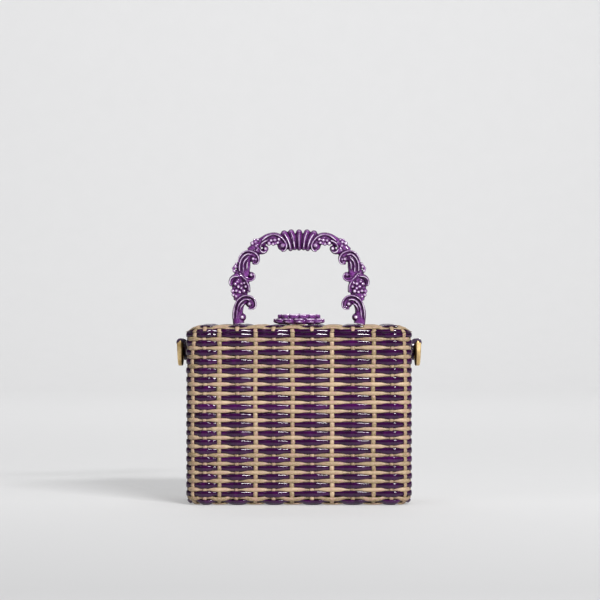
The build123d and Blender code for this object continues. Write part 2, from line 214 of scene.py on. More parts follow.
class Wall:
    """The outside of a wall from its rim, over its rounded edge and on to the flat face."""

    def __init__(self, rim, up, straight, r):
        self.rim, self.up, self.straight, self.r = rim, up, straight, r
        self.flat = straight + r * pi / 2  # where the flat face starts

    def tilt(self, t):
        """How far the wall has turned over at length t from its rim."""
        return np.clip((t - self.straight) / self.r, 0, pi / 2)

    def at(self, s, t, depth):
        """Point, outward normal and downhill direction at s round and t along, depth inside."""
        s, t, depth = np.broadcast_arrays(s, t, depth)
        f = self.tilt(t)
        inset = self.r * (1 - np.cos(f)) + np.maximum(t - self.flat, 0)
        height = np.minimum(t, self.straight) + self.r * np.sin(f)
        xy, n = outline(s, inset)
        normal = np.concatenate([n * np.cos(f)[..., None], self.up * np.sin(f)[..., None]], -1)
        along = np.concatenate([-n * np.sin(f)[..., None], self.up * np.cos(f)[..., None]], -1)
        point = np.concatenate([xy, (self.rim + self.up * height)[..., None]], -1)
        return point - depth[..., None] * normal, normal, along

    def t_of_height(self, z):
        """The length along the wall at a height on its straight or rounded part."""
        h = (z - self.rim) * self.up
        f = np.arcsin(np.clip((h - self.straight) / self.r, 0, 1))
        return np.where(h < self.straight, h, self.straight + self.r * f)


BODY_WALL = Wall(BODY_TOP, -1, BODY_TOP - BASE_R, BASE_R)
LID_WALL = Wall(LID_BASE, 1, LID_TOP - LID_R - LID_BASE, LID_R)

# ---- the weave ----
WEAVE_MID = 2.1 * MM  # from the outside to the middle of the weave
PURPLE_SWING = 1.1 * MM  # how far a purple weaver swings in and out
TAN_SWING = 0.75 * MM
STAKE_SWING = 0.45 * MM
DEPTH_SWAY = 0.07 * MM  # how far a ring wanders in and out
STAKE_SWAY = 0.45 * MM  # how far a stake wanders sideways
ROW_SWAY = 0.14 * MM  # how far a row of a flat panel wanders
SWELL = 0.04  # share by which a weaver grows and shrinks along its way
WEAVER_SQUARE, STAKE_SQUARE = 0.82, 0.75  # the power in section
SAMPLES = 10  # points from stake to stake
LEAN = 2.2 * MM  # how far the front corner stakes lean in at the rim
LEAN_LENGTH = 20 * MM  # and over what length
LID_END = 17 * MM  # length of the lid's drooping ends
RING_MIDDLE = sum(v.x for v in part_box("right_ring")) / 2

FRONT_STAKES = MM * np.array([-79, -66.8, -51.9, -36.4, -21.3, -5.7, 11, 27.5, 45, 62.3, 77.4])
CORNER_S = STRAIGHT_X + QUARTER / 2  # the middle of the front right corner
BACK_STAKES = np.linspace(-CORNER_S, CORNER_S, 13)[1:-1]
SIDE_STAKES = np.linspace(CORNER_S, ROUND / 2 - CORNER_S, 7)[1:-1]

# Odd stakes carry the tan weavers behind them, even ones carry the purple weavers.
STAKE_S = np.concatenate([
    [-CORNER_S],
    FRONT_STAKES,
    [CORNER_S],
    SIDE_STAKES,
    [ROUND / 2 - CORNER_S],
    ROUND / 2 - BACK_STAKES[::-1],
    [ROUND / 2 + CORNER_S],
    ROUND - SIDE_STAKES[::-1],
])
STAKES = len(STAKE_S)
NUMBERS = np.arange(STAKES)
FRONT_RIGHT, BACK_RIGHT, BACK_LEFT = 12, 18, 30  # corner stakes, of which the first is number 0
ON_FRONT, ON_BACK = slice(1, FRONT_RIGHT), slice(BACK_RIGHT + 1, BACK_LEFT)
LONG_WALLS = np.isin(NUMBERS, np.append(NUMBERS[ON_FRONT], NUMBERS[ON_BACK]))

# Half the way between a front stake and its partner, where they meet across a flat panel.
STAKE_DRIFT = np.zeros(STAKES)
STAKE_DRIFT[ON_FRONT] = (BACK_STAKES - FRONT_STAKES) / 2
STAKE_DRIFT[ON_BACK] = STAKE_DRIFT[ON_FRONT][::-1]
BASE_ROWS = 10  # rows of the flat panels from the middle to an edge
BASE_PITCH = 3.72 * MM
PANEL_STRAND = 0.95 * MM  # half the thickness of a strand of the flat panels
LID_RING_HALF = 1.65 * MM  # half the height of the lid's purple ring, which stands on the seam


def swing(u):
    """A weaver's way in and out at stake number u: 1 inside an even stake, -1 outside an odd one.

    It is w (3 - w w) / 2 with w = cos(pi u), which lies flatter on the stakes.
    """
    w = np.cos(pi * u)
    return w * (1.5 - 0.5 * w * w)


def ring_rows():
    """Heights of the purple rows on the walls, closer together towards the base.

    Under the row at the mouth, row k is at next_row - pitch k + narrowing k k.
    """
    mouth_row, next_row, pitch, narrowing = 142.3, 135.6, 7.72, 0.0185
    k = np.arange(18)
    return MM * np.append(mouth_row, next_row - pitch * k + narrowing * k ** 2)


def panel_rows(wall):
    """Lengths along a wall of the rows on its flat face, to the middle."""
    return wall.flat + (HALF_D - wall.r) - BASE_PITCH * np.arange(BASE_ROWS, -1, -1)


def body_rows():
    """Lengths down the wall of every row from the rim to the middle of the base.

    Even rows are purple and odd ones tan.
    """
    on_bend, under_bend = 5.4 * MM, 10.6 * MM  # where the last two rows lie, past the straight wall
    purple = np.append(BODY_WALL.t_of_height(ring_rows()), BODY_WALL.straight + on_bend)
    tan = (purple[1:] + purple[:-1]) / 2
    rows = np.empty(2 * len(purple))
    rows[0::2] = purple
    rows[1:-1:2] = tan
    rows[-1] = BODY_WALL.straight + under_bend
    return rows, np.concatenate([rows, panel_rows(BODY_WALL)])


def lid_rows():
    """Lengths up the lid's edge of its purple row, its tan rim and the rows of its top."""
    rim_turn = radians(47)  # how far over the lid's rounded edge the rim lies
    rim = LID_WALL.straight + LID_WALL.r * rim_turn
    return np.concatenate([[LID_RING_HALF, rim], panel_rows(LID_WALL)])


def ring_grid(wall, t_rows, inside, half_tall, half_thick, count, rng, wave=0.0, sway=0.22, lens=0.0):
    """Rings of weaver round a wall, and the length along them at each point.

    A ring runs at t_row + wave swing(u), at depth middle + inside swing(u), and is
    1 + lens swing(u) times as tall. Sway is how far it wanders, in millimetres.
    """
    seam = STAKES * 3 // 4  # a ring closes at the back
    u = seam + np.arange(STAKES * SAMPLES) / SAMPLES
    stations = np.concatenate([STAKE_S, STAKE_S + ROUND])
    s = np.interp(u, np.arange(2 * STAKES), stations)
    w = swing(u)[None]
    rows = len(t_rows)
    where = (s - s[0]) / ROUND
    t = t_rows[:, None] + wobble(rng, where, rows, sway * MM) + wave * w
    depth = WEAVE_MID + inside * w + wobble(rng, where, rows, DEPTH_SWAY)
    point, normal, along = wall.at(s, t, depth)
    swell = 1 + wobble(rng, where, rows, SWELL, 11)
    tall = half_tall * (1 + lens * w) * swell
    thick = half_thick * (1 + SWELL * wobble(rng, where, rows, 1.0))
    grid = section(point, along, normal, tall, thick, count, WEAVER_SQUARE)
    return grid, np.tile(s - s[0], (rows, 1))


def strand_values(grid, length, rng):
    """Attributes of strands: a tone for each, the length along them and the way round them."""
    rows, _, count = grid.shape[:3]
    tone = rng.uniform(0, 1, (rows, 1, 1))
    return {"tone": tone, "along": length[..., None], "turn": np.arange(count) / count}


def panel_columns(share):
    """Where the stakes cross a flat panel, at shares from 0 at the front to 1 at the back."""
    edge = STRAIGHT_X + 0.72 * CORNER_R  # where the corner stakes come down
    front = np.concatenate([[-edge], FRONT_STAKES, [edge]])
    back = np.concatenate([[-edge], BACK_STAKES, [edge]])
    return front + (back - front) * share[:, None]


def panel_grid(z, up, odd, half_wide, half_thick, count, rng, reach):
    """Straight weavers along a flat panel: every second row, waving over and under the stakes.

    A row lies at y = n pitch, its height is z - up (middle + swing), and it dips at its
    ends, which follow the rounded corners.
    """
    n = np.arange(-BASE_ROWS, BASE_ROWS + 1)
    y = BASE_PITCH * n[(n % 2 == 1) == odd]
    columns = panel_columns(0.5 + y / (2 * HALF_D))
    cells = columns.shape[1] - 1
    u = np.arange(cells * SAMPLES + 1) / SAMPLES
    x = np.stack([np.interp(u, np.arange(cells + 1), row) for row in columns])
    near = np.clip((np.abs(y) - (HALF_D - CORNER_R)) / CORNER_R, 0, 1)
    limit = reach - CORNER_R * 0.55 * near ** 2
    x = np.clip(x, -limit[:, None], limit[:, None])
    w = swing(u)[None] * (-1 if odd else 1)
    dip = 0.045  # share of a row at each end that dips to the wall
    end = np.clip((np.abs(x) / limit[:, None] - 1 + dip) / dip, 0, 1)
    depth = WEAVE_MID + (TAN_SWING if odd else PURPLE_SWING) * w
    depth = depth * (1 - end) + (WEAVE_MID + PURPLE_SWING * 1.2) * end
    where = np.linspace(0, 1, x.shape[1])
    yy = y[:, None] + wobble(rng, where, len(y), ROW_SWAY)
    point = np.stack([x, yy, z - up * depth], axis=-1)
    wide = half_wide * (1 - 0.1 * w) * (1 + wobble(rng, where, len(y), SWELL))
    return section(point, Y_WAY, up * Z_WAY, wide, half_thick, count, WEAVER_SQUARE), x


def stake_grid(wall, rows, which, ends, half_wide, half_thick, rng, start, lift):
    """Stakes down a wall and on across its flat face, at depth middle -+ swing of the row.

    Each starts at length start from the rim, and lift brings that end outwards.
    """
    row_numbers = np.arange(len(rows))
    stations = np.interp(np.arange(0, len(rows) - 0.999, 0.25), row_numbers, rows)
    above = np.linspace(0, rows[0], 7)[:-1]
    t = np.clip(np.concatenate([above, stations]), start, ends[:, None])
    share = np.linspace(0, 1, t.shape[1])
    even = (which % 2 == 0)[:, None]
    w = np.where(even, 1, -1) * np.cos(pi * np.interp(t, rows, row_numbers))
    knot = rows[1] + 1.5 * MM  # a lifted end lies flat again from here
    depth = WEAVE_MID - STAKE_SWING * w - lift * np.clip((knot - t) / (knot - start), 0, 1)
    s = STAKE_S[which][:, None] + wobble(rng, share, len(which), STAKE_SWAY, 4)
    across = np.clip((t - wall.flat) / (HALF_D - wall.r), 0, 1)
    s = s * (1 - across) + (STAKE_S + STAKE_DRIFT)[which][:, None] * across
    lean = np.select([which == 0, which == FRONT_RIGHT], [LEAN, -LEAN], 0)[:, None]
    s = s + lean * np.clip(1 + wall.up * t / LEAN_LENGTH, 0, 1.2)
    point, normal, along = wall.at(s, t, depth)
    wide = half_wide * (1 + wobble(rng, share, len(which), 0.05)) * (1 + 0.06 * w)
    if lift:
        tip = 0.66  # a cut end's share of the width
        wide = wide * (tip + (1 - tip) * np.clip((t - start) / (1.5 * MM), 0, 1) ** 0.5)
    return section(point, np.cross(along, normal), normal, wide, half_thick, 8, STAKE_SQUARE), t


# ============================================================ cast scrollwork
ALL_THREE = (-1, 0, 1)  # berries on the front, in the middle and on the back


def smooth_path(points, per_leg=14):
    """A Catmull-Rom curve through points, as an array."""
    p = np.asarray(points, float)
    p = np.concatenate([[2 * p[0] - p[1]], p, [2 * p[-1] - p[-2]]])
    t = np.linspace(0, 1, per_leg, endpoint=False)[:, None]
    a, b, c, d = (p[k:len(p) - 3 + k, None] for k in range(4))
    legs = 2 * b + (c - a) * t + (2 * a - 5 * b + 4 * c - d) * t**2 + (3 * b - a - 3 * c + d) * t**3
    return np.concatenate([legs.reshape(-1, p.shape[1]) / 2, p[-2:-1]])


def even_path(path, step):
    """The same path with its points a step apart."""
    length = np.concatenate([[0], np.cumsum(np.linalg.norm(np.diff(path, axis=0), axis=1))])
    at = np.linspace(0, length[-1], max(6, int(length[-1] / step)))
    return np.stack([np.interp(at, length, path[:, k]) for k in range(path.shape[1])], -1)


class Casting:
    """Scrolls, berries and ribs in the plane of the handle, in millimetres above the lid.

    Each is a tube or a ball, and they are fused into one skin at the end.
    """

    def __init__(self, mirrored=True):
        self.skin, self.mirrored = Skin(), mirrored

    def put(self, grid):
        """Adds a grid (n, c, 3) in millimetres, and its mirror image."""
        self.skin.add(grid[None])
        if self.mirrored:
            self.skin.add((grid * [-1, 1, 1])[None])

    @staticmethod
    def trail(points, step):
        """A smooth curve in X and Z with its points a step apart, and the way across it."""
        path = even_path(smooth_path(points), step)
        ahead = unit(np.gradient(path, axis=0))
        side = np.stack([-ahead[:, 1], np.zeros(len(path)), ahead[:, 0]], -1)
        return np.insert(path, 1, 0.0, axis=1), side

    def scroll(self, points, widths, depths, square=0.8):
        """A flat ribbon of changing half-width and half-depth along a curve in X and Z."""
        path, side = self.trail(points, 0.55)
        share = np.linspace(0, 1, len(path))
        wide = np.interp(share, np.linspace(0, 1, len(widths)), widths)
        deep = np.interp(share, np.linspace(0, 1, len(depths)), depths)
        self.put(section(path, side, -Y_WAY, wide, deep, 40, square))

    def ridge(self, points, r=0.75, deep=5.1):
        """A thin raised line along a curve, on the front and on the back."""
        path, side = self.trail(points, 0.5)
        taper = r * np.sin(np.linspace(0.25, pi - 0.25, len(path))) ** 0.35
        for y in (-deep, deep):
            self.put(section(path + y * Y_WAY, side, -Y_WAY, taper, taper * 1.7, 12, 1.0))

    def ball(self, x, z, r, deep=None, y=0.0):
        """A ball, or an egg that is deeper from front to back."""
        deep = deep or r
        a = np.linspace(0.12, pi - 0.12, 13)
        path = np.stack([np.full(13, x), y + deep * np.cos(a), np.full(13, z)], -1)
        self.put(section(path, X_WAY, Z_WAY, r * np.sin(a), r * np.sin(a), 16, 1.0))

    def eye(self, x, z, r, reach):
        """The bead at the heart of a curl, on a lower boss."""
        self.ball(x, z, reach, 4.6)
        self.berries([(x, z, r)], 4.8)

    def berries(self, spots, deep, places=(-1, 1)):
        """Balls at each (x, z, radius), deep on the front and the back, or in the middle too."""
        for x, z, r in spots:
            for place in places:
                self.ball(x, z, r, y=place * deep)

    def fuse(self, name, lift, voxel):
        """One closed skin of everything, in place, with its points a voxel apart.

        stands is how far each point stands out from its neighbours, and facing how much
        it faces the front or the back.
        """
        rough = self.skin.build(name + "_rough")
        rough.data.transform(Matrix.Translation(lift) @ Matrix.Scale(MM, 4))
        fuser = rough.modifiers.new("fuse", "REMESH")
        fuser.mode, fuser.voxel_size = "VOXEL", voxel
        bpy.context.view_layer.update()
        shaped = rough.evaluated_get(bpy.context.evaluated_depsgraph_get()).to_mesh()
        points = np.empty(len(shaped.vertices) * 3, np.float32)
        shaped.vertices.foreach_get("co", points)
        points = points.reshape(-1, 3).astype(float)
        edges = np.empty(len(shaped.edges) * 2, np.int32)
        shaped.edges.foreach_get("vertices", edges)
        loops = np.empty(len(shaped.loops), np.int32)
        shaped.loops.foreach_get("vertex_index", loops)
        quads = loops.reshape(-1, 4).astype(int)
        rough.evaluated_get(bpy.context.evaluated_depsgraph_get()).to_mesh_clear()
        bpy.data.objects.remove(rough)
        edges = edges.reshape(-1, 2)
        points = points + 0.5 * (neighbour_mean(points, edges) - points)
        normal = point_normals(points, quads)
        stands = np.einsum("ij,ij->i", points - neighbour_mean(points, edges), normal) / voxel
        for _ in range(3):
            stands = 0.4 * stands + 0.6 * neighbour_mean(stands[:, None], edges)[:, 0]
        facing = np.abs(normal[:, 1]) if self.mirrored else np.ones(len(points))
        return mesh_object(name, points, quads, None, {"stands": stands, "facing": facing})


def neighbour_mean(values, edges):
    """The mean of each point's neighbours along the edges."""
    total, count = np.zeros_like(values), np.zeros(len(values))
    for a, b in ((0, 1), (1, 0)):
        np.add.at(total, edges[:, a], values[edges[:, b]])
        np.add.at(count, edges[:, a], 1)
    return total / np.maximum(count, 1)[:, None]


def point_normals(points, quads):
    """Each point's normal: the sum of its faces' normals, which are half diagonal x diagonal."""
    a, b, c, d = (points[quads[:, k]] for k in range(4))
    face = np.cross(c - a, d - b)
    total = np.zeros_like(points)
    for k in range(4):
        np.add.at(total, quads[:, k], face)
    return unit(total)


# ============================================================ finishes
class Value:
    """A socket of a node tree whose arithmetic adds Math nodes."""

    def __init__(self, finish, socket):
        self.finish, self.socket = finish, socket

    def math(self, operation, *others):
        """This value and the others in one Math node."""
        return self.finish.sum(operation, self, *others)

    def __add__(self, other):
        return self.math("ADD", other)

    def __sub__(self, other):
        return self.math("SUBTRACT", other)

    def __rsub__(self, other):
        return self.finish.sum("SUBTRACT", other, self)

    def __mul__(self, other):
        return self.math("MULTIPLY", other)

    __radd__, __rmul__ = __add__, __mul__

    def over(self, low, high):
        """0 below low, 1 above high and a straight line between."""
        return self.finish.node("ShaderNodeMapRange", {"clamp": True}, {0: self, 1: low, 2: high})


class Finish:
    """A material under construction, with its Principled shader."""

    def __init__(self, name, **constants):
        self.material = bpy.data.materials.new(name)
        self.material.use_nodes = True
        self.tree = self.material.node_tree
        self.shader = self.tree.nodes["Principled BSDF"]
        for key, value in constants.items():
            self.shader.inputs[self.key(key)].default_value = value

    @staticmethod
    def key(word):
        """A shader socket's name, from the same name in lower case with underlines."""
        return word.replace("_", " ").title().replace("Ior", "IOR")

    def node(self, kind, settings=None, sockets=None, out=0):
        """A node of a type, with its settings made first and its sockets filled or linked."""
        node = self.tree.nodes.new(kind)
        for key, value in (settings or {}).items():
            setattr(node, key, value)
        for key, value in (sockets or {}).items():
            if isinstance(value, Value):
                self.tree.links.new(value.socket, node.inputs[key])
            else:
                node.inputs[key].default_value = value
        return Value(self, node.outputs[out])

    def sum(self, operation, *terms):
        """A Math node of an operation on its terms, which are numbers or values."""
        return self.node("ShaderNodeMath", {"operation": operation}, dict(enumerate(terms)))

    def place(self):
        """Object coordinates."""
        return self.node("ShaderNodeTexCoord", out="Object")

    def attribute(self, name):
        """A number that the mesh carries at each point."""
        return self.node("ShaderNodeAttribute", {"attribute_name": name}, out="Fac")

    def join(self, x, y, z):
        """Three numbers as one vector."""
        return self.node("ShaderNodeCombineXYZ", None, {0: x, 1: y, 2: z})

    def noise(self, where, scale, detail=3.0, roughness=0.5, distortion=0.0):
        """Clouds that change over where, from 0 to 1."""
        sockets = {"Vector": where, "Scale": scale, "Detail": detail, "Roughness": roughness}
        return self.node("ShaderNodeTexNoise", None, {**sockets, "Distortion": distortion})

    def mix(self, share, a, b):
        """Colours a and b, mixed by a share."""
        a, b = (v if isinstance(v, Value) else (*v, 1) for v in (a, b))
        return self.node("ShaderNodeMix", {"data_type": "RGBA"}, {0: share, 6: a, 7: b}, 2)

    def bump(self, height, distance, strength):
        """A normal that follows a height."""
        sockets = {"Height": height, "Distance": distance, "Strength": strength}
        return self.node("ShaderNodeBump", None, sockets)

    def feed(self, **links):
        """Links what changes over the surface to the shader."""
        for key, value in links.items():
            self.tree.links.new(value.socket, self.shader.inputs[self.key(key)])
        return self.material


def strand_place(finish, stretch):
    """Coordinates that run with a strand: along it, round it, and apart for each strand."""
    along, tone, turn = (finish.attribute(k) for k in ("along", "tone", "turn"))
    return finish.join(along * stretch, (turn - 0.5).math("ABSOLUTE") * 2.0, tone * 37.0)


def lacquered_strand(colour):
    """Dark gloss lacquer over cane: tone changes from strand to strand and clouds along them."""
    deep = tuple(0.35 * c for c in colour)
    pale = tuple(min(1.0, 1.8 * c) for c in colour)
    gloss = {"coat_weight": 0.78, "coat_roughness": 0.035, "coat_ior": 1.6}
    f = Finish("lacquered_strand", specular_ior_level=0.0, **gloss)
    where = strand_place(f, 160.0)
    clouds = f.noise(where, 1.0, 3.0, 0.6)
    fibres = f.noise(strand_place(f, 260.0), 5.0, 2.0, 0.6)
    tone = f.attribute("tone")
    body = f.mix(clouds.over(0.30, 0.75), deep, colour)
    body = f.mix((clouds * 0.5 + tone * 0.5).over(0.55, 0.95) * 0.75, body, pale)
    rough = f.noise(where, 3.0, 2.0) * 0.2 + 0.35
    return f.feed(base_color=body, roughness=rough, normal=f.bump(fibres, 0.00002, 0.2))


def natural_strand(colour):
    """Pale split cane: long fibres, pinkish clouds, darker specks and a little shine."""
    dark = (colour[0] * 0.47, colour[1] * 0.45, colour[2] * 0.26)
    pale = (colour[0] * 1.36, colour[1] * 1.34, colour[2] * 1.36)
    pink = (colour[0] * 1.22, colour[1] * 0.99, colour[2] * 1.25)
    f = Finish("natural_strand", coat_weight=0.10, coat_roughness=0.35, specular_ior_level=0.3)
    fibres = f.noise(strand_place(f, 110.0), 6.0, 4.0, 0.65)
    clouds = f.noise(strand_place(f, 150.0), 1.6, 3.0, 0.6)
    specks = f.noise(strand_place(f, 380.0), 2.2, 3.0, 0.7)
    tone = f.attribute("tone")
    body = f.mix(fibres.over(0.36, 0.62), dark, colour)
    body = f.mix((clouds * 0.7 + tone * 0.3).over(0.40, 0.70), body, pale)
    body = f.mix(clouds.over(0.50, 0.38) * 0.7, body, pink)
    body = f.mix(specks.over(0.58, 0.72) * 0.65, body, dark)
    rough = fibres * 0.25 + 0.42
    return f.feed(base_color=body, roughness=rough, normal=f.bump(fibres, 0.00022, 0.8))


def cast_resin(colour):
    """Marbled resin: violet clouds, painted shade in the recesses and on the edges that turn away, and
    pale paint on the ridges that also stands in for painted highlights.
    """
    # dark is the colour of the painted shade in the recesses and on the edges that turn away
    dark = tuple(0.08 * c for c in colour)
    warm = (colour[0] * 1.8, colour[1] * 2.6, colour[2] * 1.8)
    f = Finish("cast_resin", coat_roughness=0.06, specular_ior_level=0.15)
    where = f.place()
    swirl = f.noise(where, 110.0, 4.0, 0.6, 1.6)
    veins = f.noise(where, 170.0, 3.0, 0.55, 2.6)
    stands = f.attribute("stands")
    body = f.mix(swirl.over(0.40, 0.66), colour, warm)
    thread = (veins - 0.5).math("ABSOLUTE").over(0.03, 0.0) * 0.35
    body = f.mix(thread, body, (0.52, 0.30, 0.62))
    # Painted shade: where the resin lies below its neighbours, it is darkened towards dark
    hollow_shade = stands.over(0.005, -0.06)
    facing = f.attribute("facing")
    body = f.mix(hollow_shade * 0.85, body, dark)
    # Painted shade: surfaces that turn away from the front and the back, as at the silhouettes, are
    # darkened
    edge = facing.over(0.60, 0.12)
    body = f.mix(edge * 0.8, body, dark)
    # Pale lilac in patches on the ridges that face the front and the back: partly pale paint on the
    # ridges and partly a painted highlight
    patchiness = f.noise(where, 240.0, 2.0, 0.5).over(0.36, 0.58) * 0.75 + 0.25
    rubbed_and_highlight = stands.over(0.050, 0.095) * facing.over(0.50, 0.92) * patchiness
    body = f.mix(rubbed_and_highlight, body, (0.80, 0.68, 0.84))
    rough = swirl * 0.12 + 0.20 + hollow_shade * 0.3 + edge * 0.4
    dull = hollow_shade.math("MAXIMUM", edge)
    return f.feed(base_color=body, roughness=rough, coat_weight=0.9 - dull * 0.85)


def aged_brass():
    """Satin brass, browned where it isn't handled."""
    f = Finish("aged_brass", metallic=1.0)
    where = f.place()
    age = f.noise(where, 140.0, 4.0, 0.6)
    scratch = f.noise(where, 900.0, 2.0, 0.5)
    body = f.mix(age.over(0.35, 0.7), (0.30, 0.19, 0.07), (0.62, 0.43, 0.17))
    rough = age * 0.25 + 0.20
    return f.feed(base_color=body, roughness=rough, normal=f.bump(scratch, 0.00003, 0.4))


def ring_brass():
    """Polished brass, with painted shade and a painted reflection of the dark bag on the side towards
    the bag.
    """
    f = Finish("ring_brass", metallic=1.0)
    where = f.place()
    away = f.node("ShaderNodeSeparateXYZ", None, {0: where}, "X").math("ABSOLUTE")
    age = f.noise(where, 160.0, 4.0, 0.6)
    scratch = f.noise(where, 900.0, 2.0, 0.5)
    body = f.mix(age.over(0.35, 0.7), (0.62, 0.42, 0.18), (0.90, 0.68, 0.36))
    # Painted shade and painted reflection of the dark bag: the ring's side towards the bag is darkened
    # to near black
    inner = (away + age * (0.6 * MM)).over(RING_MIDDLE - 0.2 * MM, RING_MIDDLE - 0.9 * MM)
    body = f.mix(inner * 0.95, body, (0.03, 0.015, 0.006))
    rough = age * 0.2 + 0.32
    return f.feed(base_color=body, roughness=rough, normal=f.bump(scratch, 0.00003, 0.4))


def patent_leather(colour):
    """Dark leather under a thick clear film."""
    f = Finish("patent_leather", coat_weight=1.0, coat_roughness=0.03, roughness=0.32)
    where = f.place()
    creases = f.noise(where, 420.0, 2.0, 0.5)
    body = f.mix(creases.over(0.35, 0.7), tuple(0.6 * c for c in colour), colour)
    return f.feed(base_color=body, normal=f.bump(creases, 0.00008, 0.5))


def suede_cloth():
    """A dark napped cloth with brushed patches."""
    f = Finish("suede_cloth", sheen_weight=0.35, sheen_roughness=0.5, specular_ior_level=0.15)
    where = f.place()
    nap = f.noise(where, 2600.0, 2.0, 0.7)
    brushed = f.noise(where, 38.0, 3.0, 0.55, 0.8)
    body = f.mix(brushed.over(0.35, 0.68), (0.030, 0.010, 0.045), (0.075, 0.030, 0.105))
    body = f.mix(nap.over(0.55, 0.8) * 0.4, body, (0.14, 0.07, 0.18))
    return f.feed(base_color=body, roughness=nap * 0.2 + 0.75, normal=f.bump(nap, 0.0001, 0.6))


def grained(name, grain_settings, dark, pale, rough, dents=None, stretch=(1, 1, 1), **constants):
    """A finish of one grain, which sets its colour, its roughness and its dents."""
    f = Finish(name, **constants)
    where = f.place()
    if stretch != (1, 1, 1):
        where = f.node("ShaderNodeMapping", None, {"Vector": where, "Scale": stretch})
    grain = f.noise(where, *grain_settings)
    links = {"normal": f.bump(grain, *dents)} if dents else {}
    change, least = rough
    body = f.mix(grain.over(0.35, 0.7), dark, pale)
    return f.feed(base_color=body, roughness=grain * change + least, **links)


def plain_wood():
    """Pale sanded wood with its grain along X."""
    return grained(
        "plain_wood", (9.0, 4.0, 0.6, 0.4), (0.36, 0.22, 0.11), (0.58, 0.40, 0.22), (0.2, 0.5),
        (0.0002, 0.5), (8.0, 90.0, 90.0), specular_ior_level=0.3,
    )


def fibre_board():
    """Grey-brown pressed board with short fibres."""
    return grained(
        "fibre_board", (700.0, 4.0, 0.7), (0.20, 0.15, 0.10), (0.33, 0.26, 0.19), (0.2, 0.7),
        (0.0001, 0.6), specular_ior_level=0.2,
    )


def plated(name, colour, low):
    """A plated metal with faint hairlines."""
    pale = tuple(min(1.0, 1.25 * c) for c in colour)
    return grained(name, (800.0, 3.0, 0.6), colour, pale, (0.15, low), metallic=1.0)


def waxed_thread(colour):
    """Twisted sewing thread."""
    dark = tuple(0.6 * c for c in colour)
    return grained(
        "waxed_thread", (1800.0, 2.0, 0.6), dark, colour, (0.2, 0.5), specular_ior_level=0.3
    )


def studio_paper():
    """The pale seamless floor and backdrop, which glow, with painted shade that makes the floor greyer
    towards the front.
    """
    glow = {"emission_color": (1, 1, 1, 1), "emission_strength": 0.30}
    f = Finish("studio_paper", specular_ior_level=0.1, **glow)
    where = f.place()
    grain = f.noise(where, 30.0, 2.0, 0.5)
    # Painted shade: the floor is darkened towards the front
    front = f.node("ShaderNodeSeparateXYZ", None, {0: where}, "Y").over(0.0, -0.7)
    body = f.mix(grain, (0.455, 0.455, 0.46), (0.475, 0.475, 0.48))
    body = f.mix(front, body, (0.29, 0.29, 0.295))
    return f.feed(base_color=body, roughness=grain * 0.1 + 0.75)


def dress(piece, material):
    """Gives a piece one material."""
    piece.data.materials.clear()
    piece.data.materials.append(material)
    return piece


def settle(piece, body, slot, material, *nodes):
    """Rides a piece on a body, gives it one material, and lets it stand for CAD nodes, which it hides.
    slot is not used.
    """
    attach(piece, body)
    if nodes:
        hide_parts(*nodes)
    return dress(piece, material)


FINISHES = {}


def finish(maker, *colours):
    """A finish from the function that makes it, made once."""
    if maker not in FINISHES:
        FINISHES[maker] = maker(*colours)
    return FINISHES[maker]


# ============================================================ sizes and colours
def length(name, description, default):
    """A length that a user can change."""
    kind = {"subtype": "DISTANCE", "unit": "LENGTH"}
    return FloatProperty(name=name, description=description, default=default, **kind)


def angle(name, description, degrees):
    """An angle that a user can change."""
    kind = {"subtype": "ANGLE", "unit": "ROTATION"}
    return FloatProperty(name=name, description=description, default=radians(degrees), **kind)


def tint(name, description, default):
    """A colour that a user can change."""
    return FloatVectorProperty(name=name, description=description, default=default, subtype="COLOR")


class BasketSizes(bpy.types.PropertyGroup):
    """Sizes and colours of the weave."""

    purple_height: length("Purple strand", "Height of a purple weaver", 4.65 * MM)
    tan_height: length("Tan strand", "Height of a tan weaver", 3.0 * MM)
    stake_width: length("Stake", "Width of an upright stake", 3.5 * MM)
    purple: tint("Purple", "Colour of the lacquer", (0.042, 0.001, 0.050))
    tan: tint("Tan", "Colour of the natural cane", (0.392, 0.292, 0.186))


class CastingSizes(bpy.types.PropertyGroup):
    """Detail and colour of the cast pieces."""

    voxel: length("Detail", "Spacing of the points on a cast piece", 0.48 * MM)
    colour: tint("Resin", "Main colour of the resin", (0.105, 0.013, 0.135))


class StageSizes(bpy.types.PropertyGroup):
    """The camera's place and lens."""

    elevation: angle("Elevation", "Camera's angle above the horizon", 0.25)
    frame_width: length("Frame width", "Width of the view at the bag's front", 0.501)
    field: angle("Field of view", "Camera's field of view", 12.0)


# ============================================================ weaving
def droop(points):
    """Lowers the lid's two ends by 4.5 mm nearness cubed, and draws them in by 2.5 mm nearness cubed."""
    near = np.clip((np.abs(points[:, 0]) - HALF_W + LID_END) / LID_END, 0, 1)
    share = np.clip((points[:, 2] - LID_BASE) / (LID_TOP - LID_BASE), 0, 1)
    move = near ** 3 * share
    return points - MM * np.stack([2.5 * move * np.sign(points[:, 0]), 0 * move, 4.5 * move], -1)


def weave(name, body, material, parts, rng, closed=False, bend=None, nodes=()):
    """Makes one piece of strands from parts, each a grid and the length along it.

    Parts that are worked out one by one keep their random draws just before their tones.
    """
    skin = Skin()
    for grid, length_along in parts:
        skin.add(grid, closed=closed, **strand_values(grid, length_along, rng))
    settle(skin.build(name, bend), body, "woven_wicker", material, *nodes)


def lay_stakes(wall, rows, side_reach, kinds, half_thick, rng):
    """The even and then the odd stakes, of which those on the long walls meet across the panel.

    Each kind is a half-width, where the stake starts and how far that end is lifted.
    """
    ends = np.where(LONG_WALLS, wall.flat + HALF_D - wall.r, wall.flat + side_reach)
    for parity, (half_wide, start, lift) in enumerate(kinds):
        which = NUMBERS[NUMBERS % 2 == parity]
        yield stake_grid(wall, rows, which, ends[which], half_wide, half_thick, rng, start, lift)


